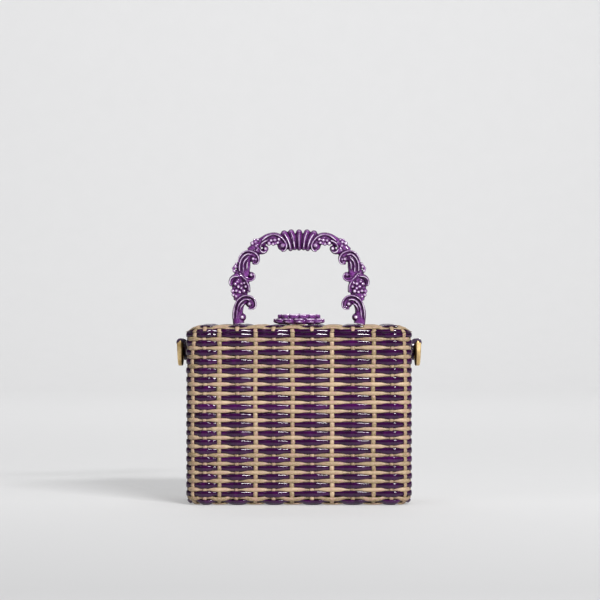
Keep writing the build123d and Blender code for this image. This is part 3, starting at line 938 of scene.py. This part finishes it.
def weave_panel(name, body, z, up, reach, finishes, rng, bend=None):
    """The purple and then the tan weavers of a flat panel, which run along X."""
    for kind, odd, half_wide, material in zip(("purple", "tan"), (False, True), (2.4, 1.7), finishes):
        part = panel_grid(z, up, odd, half_wide * MM, PANEL_STRAND, 10, rng, reach)
        weave(f"{name}_{kind}_weavers", body, material, [part], rng, bend=bend)


def lay_rim_strip(name, body, wall, material):
    """A strip over the cut ends at a rim, behind the stakes: 3.2 mm deep and 0.6 mm tall."""
    s = ROUND / 2 + ROUND * np.arange(360) / 360
    point, normal, along = wall.at(s[None], 0.35 * MM, 2.95 * MM)
    skin = Skin()
    grid = section(point, normal, along, 1.6 * MM, 0.3 * MM, 12, 0.6)
    skin.add(grid, closed=True, tone=0.3, along=(s - s[0])[:, None], turn=0.2)
    settle(skin.build(name), body, "woven_wicker", material)


class BAG_OT_weave_body(bpy.types.Operator):
    """Weave the body: purple and tan weavers round upright stakes, and a woven base"""

    bl_idname = "bag.weave_body"
    bl_label = "Weave the body"

    def execute(self, context):
        sizes = context.scene.basket_sizes
        rng = np.random.default_rng(11)
        rows, all_rows = body_rows()
        purple, tan = finish(lacquered_strand, sizes.purple), finish(natural_strand, sizes.tan)
        half_tall = np.full((len(rows) // 2, 1), sizes.purple_height / 2)
        half_tall[0], half_tall[-1] = 1.8 * MM, 1.9 * MM
        part = ring_grid(BODY_WALL, rows[0::2], PURPLE_SWING, half_tall, 1.0 * MM, 12, rng, lens=-0.12)
        weave("body_purple_rings", "body", purple, [part], rng, True, nodes=["body_basket"])
        waves = np.zeros((len(rows) // 2, 1))
        waves[-2] = 0.9 * MM
        half_tall = sizes.tan_height / 2
        part = ring_grid(
            BODY_WALL, rows[1::2], -TAN_SWING, half_tall, 0.95 * MM, 8, rng, waves, lens=0.20
        )
        weave("body_tan_rings", "body", tan, [part], rng, True)
        half_wide = sizes.stake_width / 2
        kinds = (half_wide, 0.0, 0.0), (0.95 * half_wide, 0.0, 0.0)
        parts = lay_stakes(BODY_WALL, all_rows, 7 * MM, kinds, 0.75 * MM, rng)
        weave("body_stakes", "body", tan, parts, rng)
        weave_panel("base", "body", 0.0, -1, HALF_W - 8.5 * MM, (purple, tan), rng)
        lay_rim_strip("body_rim_strip", "body", BODY_WALL, purple)
        return {"FINISHED"}


class BAG_OT_weave_lid(bpy.types.Operator):
    """Weave the lid: its rim, its top and the stake ends knotted over the rim"""

    bl_idname = "bag.weave_lid"
    bl_label = "Weave the lid"

    def execute(self, context):
        sizes = context.scene.basket_sizes
        rng = np.random.default_rng(23)
        rows = lid_rows()
        purple, tan = finish(lacquered_strand, sizes.purple), finish(natural_strand, sizes.tan)
        part = ring_grid(LID_WALL, rows[:1], PURPLE_SWING, LID_RING_HALF, 0.9 * MM, 12, rng, sway=0.08)
        weave("lid_purple_ring", "lid", purple, [part], rng, True, droop, ["lid_basket"])
        part = ring_grid(LID_WALL, rows[1:2], -TAN_SWING, 1.5 * MM, 1.1 * MM, 12, rng, 1.05 * MM, 0.12)
        weave("lid_tan_rim", "lid", tan, [part], rng, True, droop)
        half_wide = sizes.stake_width / 2
        kinds = (half_wide, 0.0, 0.0), (half_wide, 1.2 * MM, 3.0 * MM)  # the odd ones are knots
        parts = lay_stakes(LID_WALL, rows, 6 * MM, kinds, 0.8 * MM, rng)
        weave("lid_stakes", "lid", tan, parts, rng, bend=droop)
        weave_panel("lid", "lid", LID_TOP, 1, HALF_W - 7.5 * MM, (purple, tan), rng, droop)
        lay_rim_strip("lid_rim_strip", "lid", LID_WALL, purple)
        return {"FINISHED"}


# ============================================================ handle and plaque
class BAG_OT_cast_handle(bpy.types.Operator):
    """Cast the handle: mirrored scrolls, curls and berries up to a ribbed crown"""

    bl_idname = "bag.cast_handle"
    bl_label = "Cast the handle"

    def execute(self, context):
        sizes = context.scene.casting_sizes
        cast = Casting()
        self.lower_scroll(cast)
        self.berry_nest(cast)
        self.upper_scroll(cast)
        self.shoulder(cast)
        self.crown(cast)
        piece = cast.fuse("handle_scrollwork", Vector((0, 0, LID_TOP)), sizes.voxel)
        settle(piece, "lid", "cast_resin", finish(cast_resin, sizes.colour), "handle")
        return {"FINISHED"}

    def lower_scroll(self, cast):
        """The crescent on the foot, curled in at its top, with a small curl at its heel."""
        cast.scroll(
            [(-51.2, 0.2), (-51.8, 3), (-52.2, 7), (-52, 12), (-50.3, 17.3), (-46.6, 20.7),
             (-42.2, 21.2), (-39.3, 18.9), (-38.6, 16), (-40.1, 14.2), (-42.2, 14.7)],
            [5.0, 4.6, 4.7, 4.5, 4.2, 3.9, 3.6, 3.2, 2.7, 2.3, 1.8],
            [6.0, 5.2, 4.7, 4.6, 4.6, 4.4],
        )
        cast.ridge([(-55.5, 4.5), (-55.6, 10), (-54.5, 16), (-52.3, 20.4), (-48.6, 23.4), (-45, 24.3),
                    (-41, 23.7), (-38, 21), (-36.7, 17.5), (-37.3, 14.3), (-40.4, 12.6), (-43.3, 13.3)])
        cast.ridge([(-53, 5), (-52.4, 12), (-50.8, 17), (-48, 20), (-44.5, 21.2), (-41.8, 20.4)])
        cast.ridge([(-50.2, 11.5), (-49.6, 14), (-48.2, 16.2), (-46, 17.7)], 0.6)
        cast.eye(-42.2, 17.2, 1.7, 3.0)
        cast.eye(-48.3, 6.0, 1.9, 3.4)

    def berry_nest(self, cast):
        """A nest of berries held by a thin scroll, on the outside of the limb."""
        cast.scroll([(-50.5, 20), (-50, 28), (-50.5, 34), (-50, 40), (-48, 45)],
                    [5.0, 6.4, 6.8, 6.0, 5.4], [3.9, 3.7, 3.9])
        cast.scroll(
            [(-57.4, 32.6), (-58.2, 35.6), (-57, 38.8), (-54.3, 40.7), (-50.8, 41.2), (-47.4, 39.6),
             (-45, 36.2), (-43.4, 32), (-43, 27)],
            [1.5, 1.9, 2.1, 2.1, 2.0, 2.1, 2.0, 1.8, 1.6], [4.2, 4.8, 4.6],
        )
        cast.ridge([(-58.2, 32.6), (-59, 35.5), (-57.9, 38.7), (-55, 40.5), (-51.4, 40.6)])
        cast.ridge([(-46.5, 39.4), (-44.2, 35.8), (-42.6, 32), (-42.3, 28.2)])
        cast.berries(
            [(-54.3, 34.3, 1.7), (-51.5, 31.9, 1.5), (-49.0, 34.4, 1.3), (-49.0, 30.6, 1.3),
             (-47.1, 28.2, 1.7), (-45.4, 32.0, 1.3), (-52.4, 36.2, 1.2), (-53.4, 28.4, 1.4),
             (-50.4, 27.4, 1.2), (-46.6, 35.0, 1.1)],
            4.1,
        )
        cast.berries([(-56.4, 28.2, 1.8), (-55.8, 24.9, 1.6), (-53.4, 23.6, 1.4)], 2.9, ALL_THREE)

    def upper_scroll(self, cast):
        """The large fluted scroll of the shoulder, with a curled tail."""
        cast.scroll(
            [(-45.2, 40.5), (-46.8, 45), (-47.1, 50), (-46, 55), (-43.2, 59.2), (-39.5, 60.2),
             (-36.4, 57.8), (-35.9, 54.5), (-37.4, 52.6), (-39.5, 53)],
            [3.8, 5.0, 5.9, 5.6, 4.8, 4.0, 3.3, 2.9, 2.4, 1.9], [4.6, 4.8, 4.8, 4.7, 4.4],
        )
        cast.scroll([(-46.4, 42), (-44.6, 39.2), (-42, 38), (-39.6, 38.8), (-38.6, 41), (-39.4, 43)],
                    [2.4, 2.1, 1.9, 1.8, 1.6, 1.4], [4.7, 4.7])
        cast.ridge([(-52.0, 52.5), (-50.8, 57), (-48, 60.6), (-44, 62.3), (-40, 61.8), (-36.4, 59.8),
                    (-34.4, 56.5), (-34.3, 53.3), (-36, 51.3), (-38.5, 51.2)])
        cast.ridge([(-47.2, 44.5), (-47.4, 50), (-46.2, 53.8), (-43.2, 56.8)])
        cast.ridge([(-44.2, 46.5), (-44.1, 51), (-43.1, 53.6)], 0.6)
        cast.ridge([(-50.6, 45), (-50.7, 49), (-50, 53), (-47.8, 57), (-44.2, 59.6), (-40.6, 59)])
        cast.ridge([(-50.5, 43.5), (-48.2, 40.8), (-45.6, 38.2), (-43, 36.9), (-40.4, 37.1),
                    (-38.1, 38.9), (-37.6, 41), (-38.6, 43.3)])
        cast.eye(-39.0, 55.5, 1.5, 3.0)
        cast.eye(-40.5, 42.0, 1.6, 2.6)
        cast.berries([(-36.9, 55.1, 0.9)], 4.9)
        cast.berries(
            [(-55.2, 45.4, 1.5), (-54.2, 48.9, 1.7), (-53.4, 51.4, 1.2), (-56.0, 47.6, 1.2)],
            2.9, ALL_THREE,
        )

    def shoulder(self, cast):
        """The arched leaf over the shoulder, its two curls and the berries by it."""
        cast.scroll(
            [(-42, 62), (-38, 65.5), (-34, 68.6), (-29.5, 71.4), (-24.5, 73.2), (-19.5, 73.2),
             (-15.5, 71), (-13.2, 68)],
            [3.4, 3.4, 3.6, 3.8, 3.9, 3.9, 4.0, 3.6], [4.2, 4.4, 4.4],
        )
        cast.scroll(
            [(-33.3, 67.5), (-32.2, 71), (-28.8, 74.1), (-24, 76), (-19.3, 76.1), (-15.2, 74.2),
             (-12, 70.5), (-10.9, 66.5), (-12.3, 63.3), (-15, 62.7)],
            [1.6, 1.9, 2.0, 1.9, 1.8, 1.8, 1.8, 1.7, 1.5, 1.3], [4.6, 4.8, 4.8],
        )
        cast.ridge([(-31.6, 71.1), (-28, 74), (-24.5, 75.7), (-20, 76), (-16.5, 74.7), (-13.6, 72.4),
                    (-11.3, 69), (-10.6, 66), (-11.9, 63), (-14.2, 61.8)])
        cast.ridge([(-33.2, 65), (-31.9, 68), (-29.5, 70.1), (-26.8, 71.3)])
        cast.ridge([(-33.2, 64.2), (-32.3, 61.9), (-30, 61), (-27.9, 61.6)], 0.6)
        cast.scroll([(-36, 64), (-32.6, 61.6), (-29.6, 61.6), (-27.4, 63.6)],
                    [3.4, 2.4, 1.8, 1.4], [4.8, 4.8])
        cast.eye(-28.5, 64.3, 1.6, 2.6)
        cast.eye(-14.0, 66.9, 2.1, 4.6)
        cast.berries(
            [(-23.8, 71.2, 1.3), (-20.6, 71.5, 1.6), (-17.1, 72.3, 1.6), (-18.2, 69.2, 1.3),
             (-22.0, 68.1, 1.5), (-25.6, 68.6, 1.8), (-20.0, 68.6, 1.2)],
            4.4, ALL_THREE,
        )
        cast.berries(
            [(-39.8, 68.7, 1.8), (-36.9, 69.9, 1.7), (-36.4, 66.6, 1.6), (-37.9, 71.7, 1.2),
             (-35.2, 72.0, 1.3)],
            3.4, ALL_THREE,
        )

    def crown(self, cast):
        """Five fluted ribs fanned out like a shell, over the bar that joins the limbs."""
        cast.scroll([(-15, 70.5), (-8, 71), (0, 71.4)], [4.0, 5.2, 5.6], [4.6, 4.6])
        for path, widths in (
            ([(-7.3, 64.0), (-8.2, 68.5), (-10.0, 73.0), (-12.7, 77.1)], [2.0, 2.4, 2.8, 2.9]),
            ([(-3.8, 64.6), (-4.3, 69.0), (-5.2, 74.0), (-6.8, 78.1)], [1.8, 2.2, 2.6, 2.7]),
            ([(0.0, 64.4), (0.0, 69.0), (0.0, 74.0), (0.0, 78.1)], [1.9, 2.3, 2.6, 2.7]),
        ):
            cast.scroll(path, widths, [4.9, 6.2, 6.3, 5.2], square=1.0)
            cast.ball(*path[-1], widths[-1], 5.2)
            cast.ball(*path[0], widths[0], 4.9)
            cast.ridge(path, 0.75, 5.9)


class BAG_OT_cast_plaque(bpy.types.Operator):
    """Cast the plaque: two tiers of lobes, curls and beads round a boss"""

    bl_idname = "bag.cast_plaque"
    bl_label = "Cast the plaque"

    def execute(self, context):
        sizes = context.scene.casting_sizes
        low, high = (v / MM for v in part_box("plaque"))
        half_x, half_y = (high.x - low.x) / 2, (high.y - low.y) / 2
        mid = (low + high) / 2
        cast = Casting(mirrored=False)
        self.dish(cast, half_x - 3.2, half_y - 3.2, 0.2, 3.6)
        self.lobes(cast, half_x + 0.4, half_y + 0.4, 12, 4.6, 2.6, 2.5)
        self.dish(cast, half_x - 6.0, half_y - 6.0, 2.0, 7.2)
        self.curls(cast, half_x - 3.6, half_y - 3.6, 12, 6.9)
        self.beads(cast, half_x - 12.0, half_y - 12.0, 9, 1.7, 7.6)
        cast.ball(0, 6.8, 2.6, y=0)
        lift = Vector((mid.x * MM, mid.y * MM, LID_TOP))
        piece = cast.fuse("plaque_scrollwork", lift, sizes.voxel)
        settle(piece, "lid", "cast_resin", finish(cast_resin, sizes.colour), "plaque")
        return {"FINISHED"}

    @staticmethod
    def dish(cast, rx, ry, low, high):
        """A flat oval drum with rounded edges."""
        share = np.array([0.0, 0.06, 0.3, 0.7, 0.94, 1.0])
        grow = np.array([0.90, 0.97, 1.0, 1.0, 0.96, 0.88])
        z = low + (high - low) * share
        cast.put(section(z[:, None] * Z_WAY, X_WAY, Y_WAY, rx * grow, ry * grow, 64, 1.0))

    @staticmethod
    def round_oval(rx, ry, count, first=0.0):
        """Places at even turns round an oval, from a share of a turn between two."""
        turn = 2 * pi * (np.arange(count) + first) / count
        return np.stack([rx * np.cos(turn), ry * np.sin(turn)], -1)

    def lobes(self, cast, rx, ry, count, r, z, deep):
        """Petals round an oval, each bowed up along its length, with a raised lip at its tip."""
        root, bow, lip_at = 0.55, 0.4, 0.84  # where a petal starts, how far it bows, its lip's middle
        share = np.linspace(0, 1, 14)[:, None]
        for tip in self.round_oval(rx, ry, count):
            path = np.concatenate([tip * (root + (1 - root) * share), z + bow * np.sin(pi * share)], 1)
            ahead = unit(np.append(tip, 0)[None])
            side = np.cross(ahead, Z_WAY)
            wide = r * np.sqrt(np.sin(np.linspace(0.7, pi - 0.02, 14)))
            cast.put(section(path, side, Z_WAY, wide, deep * (wide / r), 32, 0.8))
            bend = np.linspace(-1.25, 1.25, 16)[:, None]
            heart = np.append(tip * lip_at, z + deep * 0.78)
            lip = heart + 0.86 * r * (np.sin(bend) * side + 0.72 * np.cos(bend) * ahead)
            across = np.cross(unit(np.gradient(lip, axis=0)), Z_WAY)
            cast.put(section(lip, across, Z_WAY, 0.5, 0.5, 12, 1.0))

    def curls(self, cast, rx, ry, count, z):
        """C-shaped curls end to end round an oval: each bows out and rolls in at both ends."""
        inside, size, rolled, across_share, along_share = 3.2, 3.3, 0.42, 1.12, 0.9
        turn = np.radians(np.linspace(-205, 205, 40))
        reach = size * (1 - rolled * np.clip(np.abs(turn) / 2.2 - 0.6, 0, 1))
        sideways, outwards = reach * np.sin(turn / 1.45), reach * np.cos(turn / 1.45)
        for heart in self.round_oval(rx - inside, ry - inside, count, 0.5):
            ahead = unit(heart[None])[0]
            side = np.array([ahead[1], -ahead[0]])
            xy = heart + sideways[:, None] * side * across_share
            xy = xy + (outwards * along_share)[:, None] * ahead
            path = np.concatenate([xy, np.full((40, 1), z)], 1)
            across = np.cross(unit(np.gradient(path, axis=0)), Z_WAY)
            cast.put(section(path, across, Z_WAY, 0.95, 1.9, 16, 0.8))

    def beads(self, cast, rx, ry, count, r, z):
        """Beads round an oval."""
        for x, y in self.round_oval(rx, ry, count, 0.5):
            cast.ball(x, z, r, y=y)


# ============================================================ leather, lining and metal
class BAG_OT_sew_tabs(bpy.types.Operator):
    """Sew the two patent leather tabs that carry the rings"""

    bl_idname = "bag.sew_tabs"
    bl_label = "Sew the ring tabs"

    def execute(self, context):
        leather = finish(patent_leather, (0.035, 0.008, 0.055))
        thread = finish(waxed_thread, (0.10, 0.03, 0.14))
        for name, side in (("left", -1), ("right", 1)):
            tab_low, tab_high = (np.array(v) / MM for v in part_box(f"{name}_ring_tab"))
            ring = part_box(f"{name}_ring")
            bar_x = (ring[0].x + ring[1].x) / 2 / MM
            inner = tab_low[0] if side > 0 else tab_high[0]
            strap = self.strap(side, inner, bar_x, tab_low, tab_high).build(f"{name}_leather_tab")
            settle(strap, "body", "patent_leather", leather, f"{name}_ring_tab")
            stitches = self.stitches(side, inner, tab_low, tab_high).build(f"{name}_tab_stitches")
            settle(stitches, "body", "patent_leather", thread)
        return {"FINISHED"}

    @staticmethod
    def strap(side, inner, bar_x, low, high):
        """A leather strip wrapped round the bar and closed on itself below it.

        Its outline in X and Z is carried along Y, and drawn in along a quarter circle at
        both edges.
        """
        wrap_r, edge = 3.5, 0.5
        bar_z = high[2] - 3.55
        out = abs(bar_x - inner)
        turn = np.radians(np.linspace(-118, 96, 40))
        loop = np.stack([out + wrap_r * np.cos(turn), bar_z + wrap_r * np.sin(turn)], -1)
        foot = low[2]
        outer = smooth_path([(2.4, foot + 0.2), (2.45, foot + 4), (2.4, bar_z - 5), tuple(loop[0])], 10)
        top = smooth_path([tuple(loop[-1]), (2.4, bar_z + 3.1), (0.1, bar_z + 1.4)], 8)
        back = np.array([(0.1, bar_z - 3), (0.1, foot + 0.2), (0.3, foot), (1.1, foot),
                         (1.25, foot + 0.45), (1.4, foot), (2.2, foot)])
        outline_xz = np.concatenate([outer, loop[1:-1], top, back])
        gap = np.roll(outline_xz, -1, axis=0) - np.roll(outline_xz, 1, axis=0)
        outward = unit(np.stack([gap[:, 1], -gap[:, 0]], -1))
        bend = np.linspace(0, pi / 2, 6)
        half = (high[1] - low[1]) / 2
        y = np.concatenate([-half + edge * (1 - np.cos(bend)), half - edge * (1 - np.cos(bend[::-1]))])
        inset = edge * (1 - np.sin(np.concatenate([bend, bend[::-1]])))
        flat = outline_xz[None] - inset[:, None, None] * outward[None]
        grid = np.stack([inner + side * flat[..., 0], np.broadcast_to(y[:, None], flat.shape[:2]),
                         flat[..., 1]], -1)
        skin = Skin()
        skin.add(grid[None] * MM)
        return skin

    @staticmethod
    def stitches(side, inner, low, high):
        """Short stitches down both edges of the tab, 1.4 mm from them."""
        skin = Skin()
        share = np.linspace(0, 1, 7)
        x = inner + side * (2.38 + 0.22 * np.sin(pi * share))
        wide = 0.24 * MM * np.sin(np.linspace(0.35, pi - 0.35, 7))
        for edge in (-1, 1):
            y = np.full(7, edge * ((high[1] - low[1]) / 2 - 1.4))
            for foot in np.arange(low[2] + 1.6, low[2] + 9.6, 2.0):
                path = np.stack([x, y, foot + 1.5 * share], -1) * MM
                skin.add(section(path, Y_WAY, side * X_WAY, wide, wide, 8, 1.0)[None])
        return skin


class BAG_OT_line_bag(bpy.types.Operator):
    """Line the body and the lid with suede cloth"""

    bl_idname = "bag.line_bag"
    bl_label = "Line the bag"

    def execute(self, context):
        cloth = finish(suede_cloth)
        self.body_lining(cloth)
        self.lid_lining(cloth)
        return {"FINISHED"}

    @staticmethod
    def rings(profile):
        """Rings of the box's outline: each drawn in by an inset, at a height, and scaled."""
        s = ROUND * np.arange(240) / 240
        insets, heights, scales = np.array(profile, float).T[..., None]
        xy, _ = outline(*np.broadcast_arrays(s, insets))
        heights = np.broadcast_to(heights, xy.shape[:2])
        return np.concatenate([xy * scales[..., None], heights[..., None]], -1), s

    def body_lining(self, cloth):
        """An open tub: outside, over the rolled edge, down inside and across the floor."""
        low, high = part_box("body_lining")
        out, mouth, thin, soft = 4.9 * MM, 11.1 * MM, 9.9 * MM, 2.6 * MM
        step = high.z - 24.4 * MM  # the wall is thinner above this, round the hoop
        floor = low.z + 1.2 * MM
        profile = [
            (out, low.z, 0.02),
            (out, low.z, 0.9),
            (out, low.z + 0.1 * MM, 1.0),
            (out, step, 1.0),
            (thin, step, 1.0),
            (thin, high.z - 0.5 * MM, 1.0),
            (thin + 0.2 * MM, high.z - 0.1 * MM, 1.0),
            (10.5 * MM, high.z, 1.0),
            (mouth - 0.2 * MM, high.z - 0.1 * MM, 1.0),
            (mouth, high.z - 0.6 * MM, 1.0),
        ]
        outside = len(profile)
        profile += [(mouth, z, 1.0) for z in np.linspace(high.z - 1.5 * MM, floor + soft, 46)]
        profile += [
            (mouth + soft * (1 - np.cos(bend)), floor + soft * (1 - np.sin(bend)), 1.0)
            for bend in np.linspace(0.25, pi / 2, 6)
        ]
        profile += [(mouth + soft, floor, share) for share in np.linspace(0.94, 0.02, 16)]
        points, s = self.rings(profile)
        rng = np.random.default_rng(5)
        ease = np.clip((high.z - points[..., 2]) / (30 * MM), 0, 1)
        ease[:outside] = 0
        waves = np.sin(s / ROUND * 2 * pi * 9 + 1.3) + 0.6 * np.sin(s / ROUND * 2 * pi * 23 + 0.4)
        waves = waves + 0.5 * np.sin(points[..., 2] * 190 + s * 60) + rng.normal(0, 0.02, ease.shape)
        toward = unit((points.mean(axis=1, keepdims=True) - points) * [1, 1, 0])
        points = points + toward * np.abs(0.16 * MM * waves * ease)[..., None]
        self.sew(points, "suede_lining", "body", cloth, "body_lining")

    def lid_lining(self, cloth):
        """A softly edged panel under the lid, in one skin from its top round to its underside."""
        low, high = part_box("lid_lining")
        inset, roll = 13.0 * MM, 0.9 * MM
        mid, half = (low.z + high.z) / 2, (high.z - low.z) / 2
        profile = [(inset, high.z, share) for share in np.linspace(0.02, 0.95, 8)]
        profile += [
            (inset - roll * np.sin(bend), mid + half * np.cos(bend), 1.0)
            for bend in np.linspace(0, pi, 9)
        ]
        profile += [(inset, low.z, share) for share in np.linspace(0.95, 0.02, 8)]
        self.sew(self.rings(profile)[0], "suede_lid_panel", "lid", cloth, "lid_lining")

    @staticmethod
    def sew(points, name, body, cloth, node):
        """Makes one lining piece of its rings."""
        skin = Skin()
        skin.add(points[None])
        settle(skin.build(name), body, "lining", cloth, node)


class BAG_OT_finish_hardware(bpy.types.Operator):
    """Finish the rings, hinges, screws, magnets, hoop and boards"""

    bl_idname = "bag.finish_hardware"
    bl_label = "Finish the hardware"

    def execute(self, context):
        brass = finish(aged_brass)
        steel = plated("bright_steel", (0.46, 0.46, 0.48), 0.22)
        nickel = plated("nickel", (0.60, 0.59, 0.56), 0.12)
        wood, board = finish(plain_wood), finish(fibre_board)
        endings = {
            "_ring": finish(ring_brass), "_leaf": brass, "_pin": brass, "_rivet": brass,
            "hinge_body_screws": brass, "hinge_lid_screws": brass,
            "handle_screws": steel, "plaque_screws": steel,
            "_magnets": nickel, "mouth_frame": wood, "_board": board,
        }
        for name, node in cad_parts.items():
            for ending, material in endings.items():
                if name.endswith(ending):
                    dress(node, material)
        return {"FINISHED"}


# ============================================================ stage
class BAG_OT_set_stage(bpy.types.Operator):
    """Set the floor, the backdrop, the lights and the camera"""

    bl_idname = "bag.set_stage"
    bl_label = "Set the stage"

    def execute(self, context):
        self.backdrop()
        self.lights()
        self.camera(context)
        return {"FINISHED"}

    def backdrop(self):
        """A floor that curves up into a wall: y and z follow a quarter circle."""
        front, back, r, top, half_wide = -3.2, 3.3, 0.8, 3.4, 3.6
        columns = 9
        bend = np.linspace(0, pi / 2, 24)
        floor, wall = np.linspace(front, back - r, 6)[:-1], np.linspace(r, top, 5)[1:]
        y = np.concatenate([floor, back - r + r * np.sin(bend), np.full(len(wall), back)])
        z = np.concatenate([np.zeros(len(floor)), r - r * np.cos(bend), wall])
        x = np.linspace(-half_wide, half_wide, columns)
        points = np.stack([np.tile(x, len(y)), np.repeat(y, columns), np.repeat(z, columns)], -1)
        ids = np.arange(len(points)).reshape(len(y), columns)
        quads = np.stack([ids[:-1, :-1], ids[:-1, 1:], ids[1:, 1:], ids[1:, :-1]], -1).reshape(-1, 4)
        piece = mesh_object("backdrop", points, quads)
        dress(piece, finish(studio_paper))

    def lights(self):
        """A soft key from the upper right, a fill from the left, a top light and a pale room.

        The glint shows only in gloss.
        """
        for name, place, aim, size, watts in (
            ("key", (1.20, -2.38, 1.56), (0, 0, 0.10), (1.25, 0.16), 108.0),
            ("glint", (1.20, -2.38, 1.56), (0, 0, 0.10), (1.25, 0.30), 44.0),
            ("fill", (-1.5, -1.2, 1.3), (0, 0, 0.10), (0.8, 0.8), 3.5),
            ("top", (0.0, -0.1, 1.6), (0, 0, 0.1), (1.0, 0.7), 4.6),
            ("wall", (0.0, 1.5, 2.1), (0, 3.0, 0.2), (3.0, 0.6), 35.0),
        ):
            light = bpy.data.lights.new(name, "AREA")
            light.shape, light.size, light.size_y, light.energy = "RECTANGLE", *size, watts
            lamp = bpy.data.objects.new(name, light)
            lamp.location = place
            lamp.visible_diffuse = name != "glint"
            lamp.rotation_euler = (Vector(aim) - Vector(place)).to_track_quat("-Z", "Y").to_euler()
            bpy.context.scene.collection.objects.link(lamp)
        world = bpy.data.worlds.new("room")
        world.use_nodes = True
        sky = world.node_tree.nodes["Background"]
        sky.inputs["Color"].default_value = (0.93, 0.94, 0.96, 1)
        sky.inputs["Strength"].default_value = 0.12
        bpy.context.scene.world = world
        bpy.context.scene.view_settings.view_transform = "Standard"

    def camera(self, context):
        """A long lens, a little above level, aimed at the height of the middle of the view."""
        sizes = context.scene.stage_sizes
        camera = bpy.data.cameras.new("camera")
        camera.angle = sizes.field
        eye = bpy.data.objects.new("camera", camera)
        away = sizes.frame_width / 2 / np.tan(sizes.field / 2)
        aim = Vector((0.0008, -HALF_D, 0.1718))
        back = Vector((0, -np.cos(sizes.elevation), np.sin(sizes.elevation)))
        eye.location = aim + back * away
        eye.rotation_euler = (-back).to_track_quat("-Z", "Y").to_euler()
        context.scene.collection.objects.link(eye)
        context.scene.camera = eye


class BAG_PT_panel(bpy.types.Panel):
    """Lists the steps that make the bag"""

    bl_idname = "BAG_PT_panel"
    bl_label = "Basket Bag"
    bl_space_type = "VIEW_3D"
    bl_region_type = "UI"
    bl_category = "Basket Bag"

    def draw(self, context):
        for group in ("basket_sizes", "casting_sizes", "stage_sizes"):
            settings = getattr(context.scene, group)
            for key in settings.__annotations__:
                self.layout.prop(settings, key)
        for step in STEPS:
            self.layout.operator(step.bl_idname)


GROUPS = {"basket_sizes": BasketSizes, "casting_sizes": CastingSizes, "stage_sizes": StageSizes}
STEPS = (
    BAG_OT_weave_body,
    BAG_OT_weave_lid,
    BAG_OT_cast_handle,
    BAG_OT_cast_plaque,
    BAG_OT_sew_tabs,
    BAG_OT_line_bag,
    BAG_OT_finish_hardware,
    BAG_OT_set_stage,
)


def register():
    for cls in (*GROUPS.values(), *STEPS, BAG_PT_panel):
        bpy.utils.register_class(cls)
    for key, cls in GROUPS.items():
        setattr(bpy.types.Scene, key, PointerProperty(type=cls))


def unregister():
    for key in GROUPS:
        delattr(bpy.types.Scene, key)
    for cls in reversed((*GROUPS.values(), *STEPS, BAG_PT_panel)):
        bpy.utils.unregister_class(cls)


def main():
    """Makes the bag step by step."""
    register()
    bpy.ops.bag.weave_body()
    bpy.ops.bag.weave_lid()
    bpy.ops.bag.cast_handle()
    bpy.ops.bag.cast_plaque()
    bpy.ops.bag.sew_tabs()
    bpy.ops.bag.line_bag()
    bpy.ops.bag.finish_hardware()
    bpy.ops.bag.set_stage()


if __name__ == "__main__":
    main()
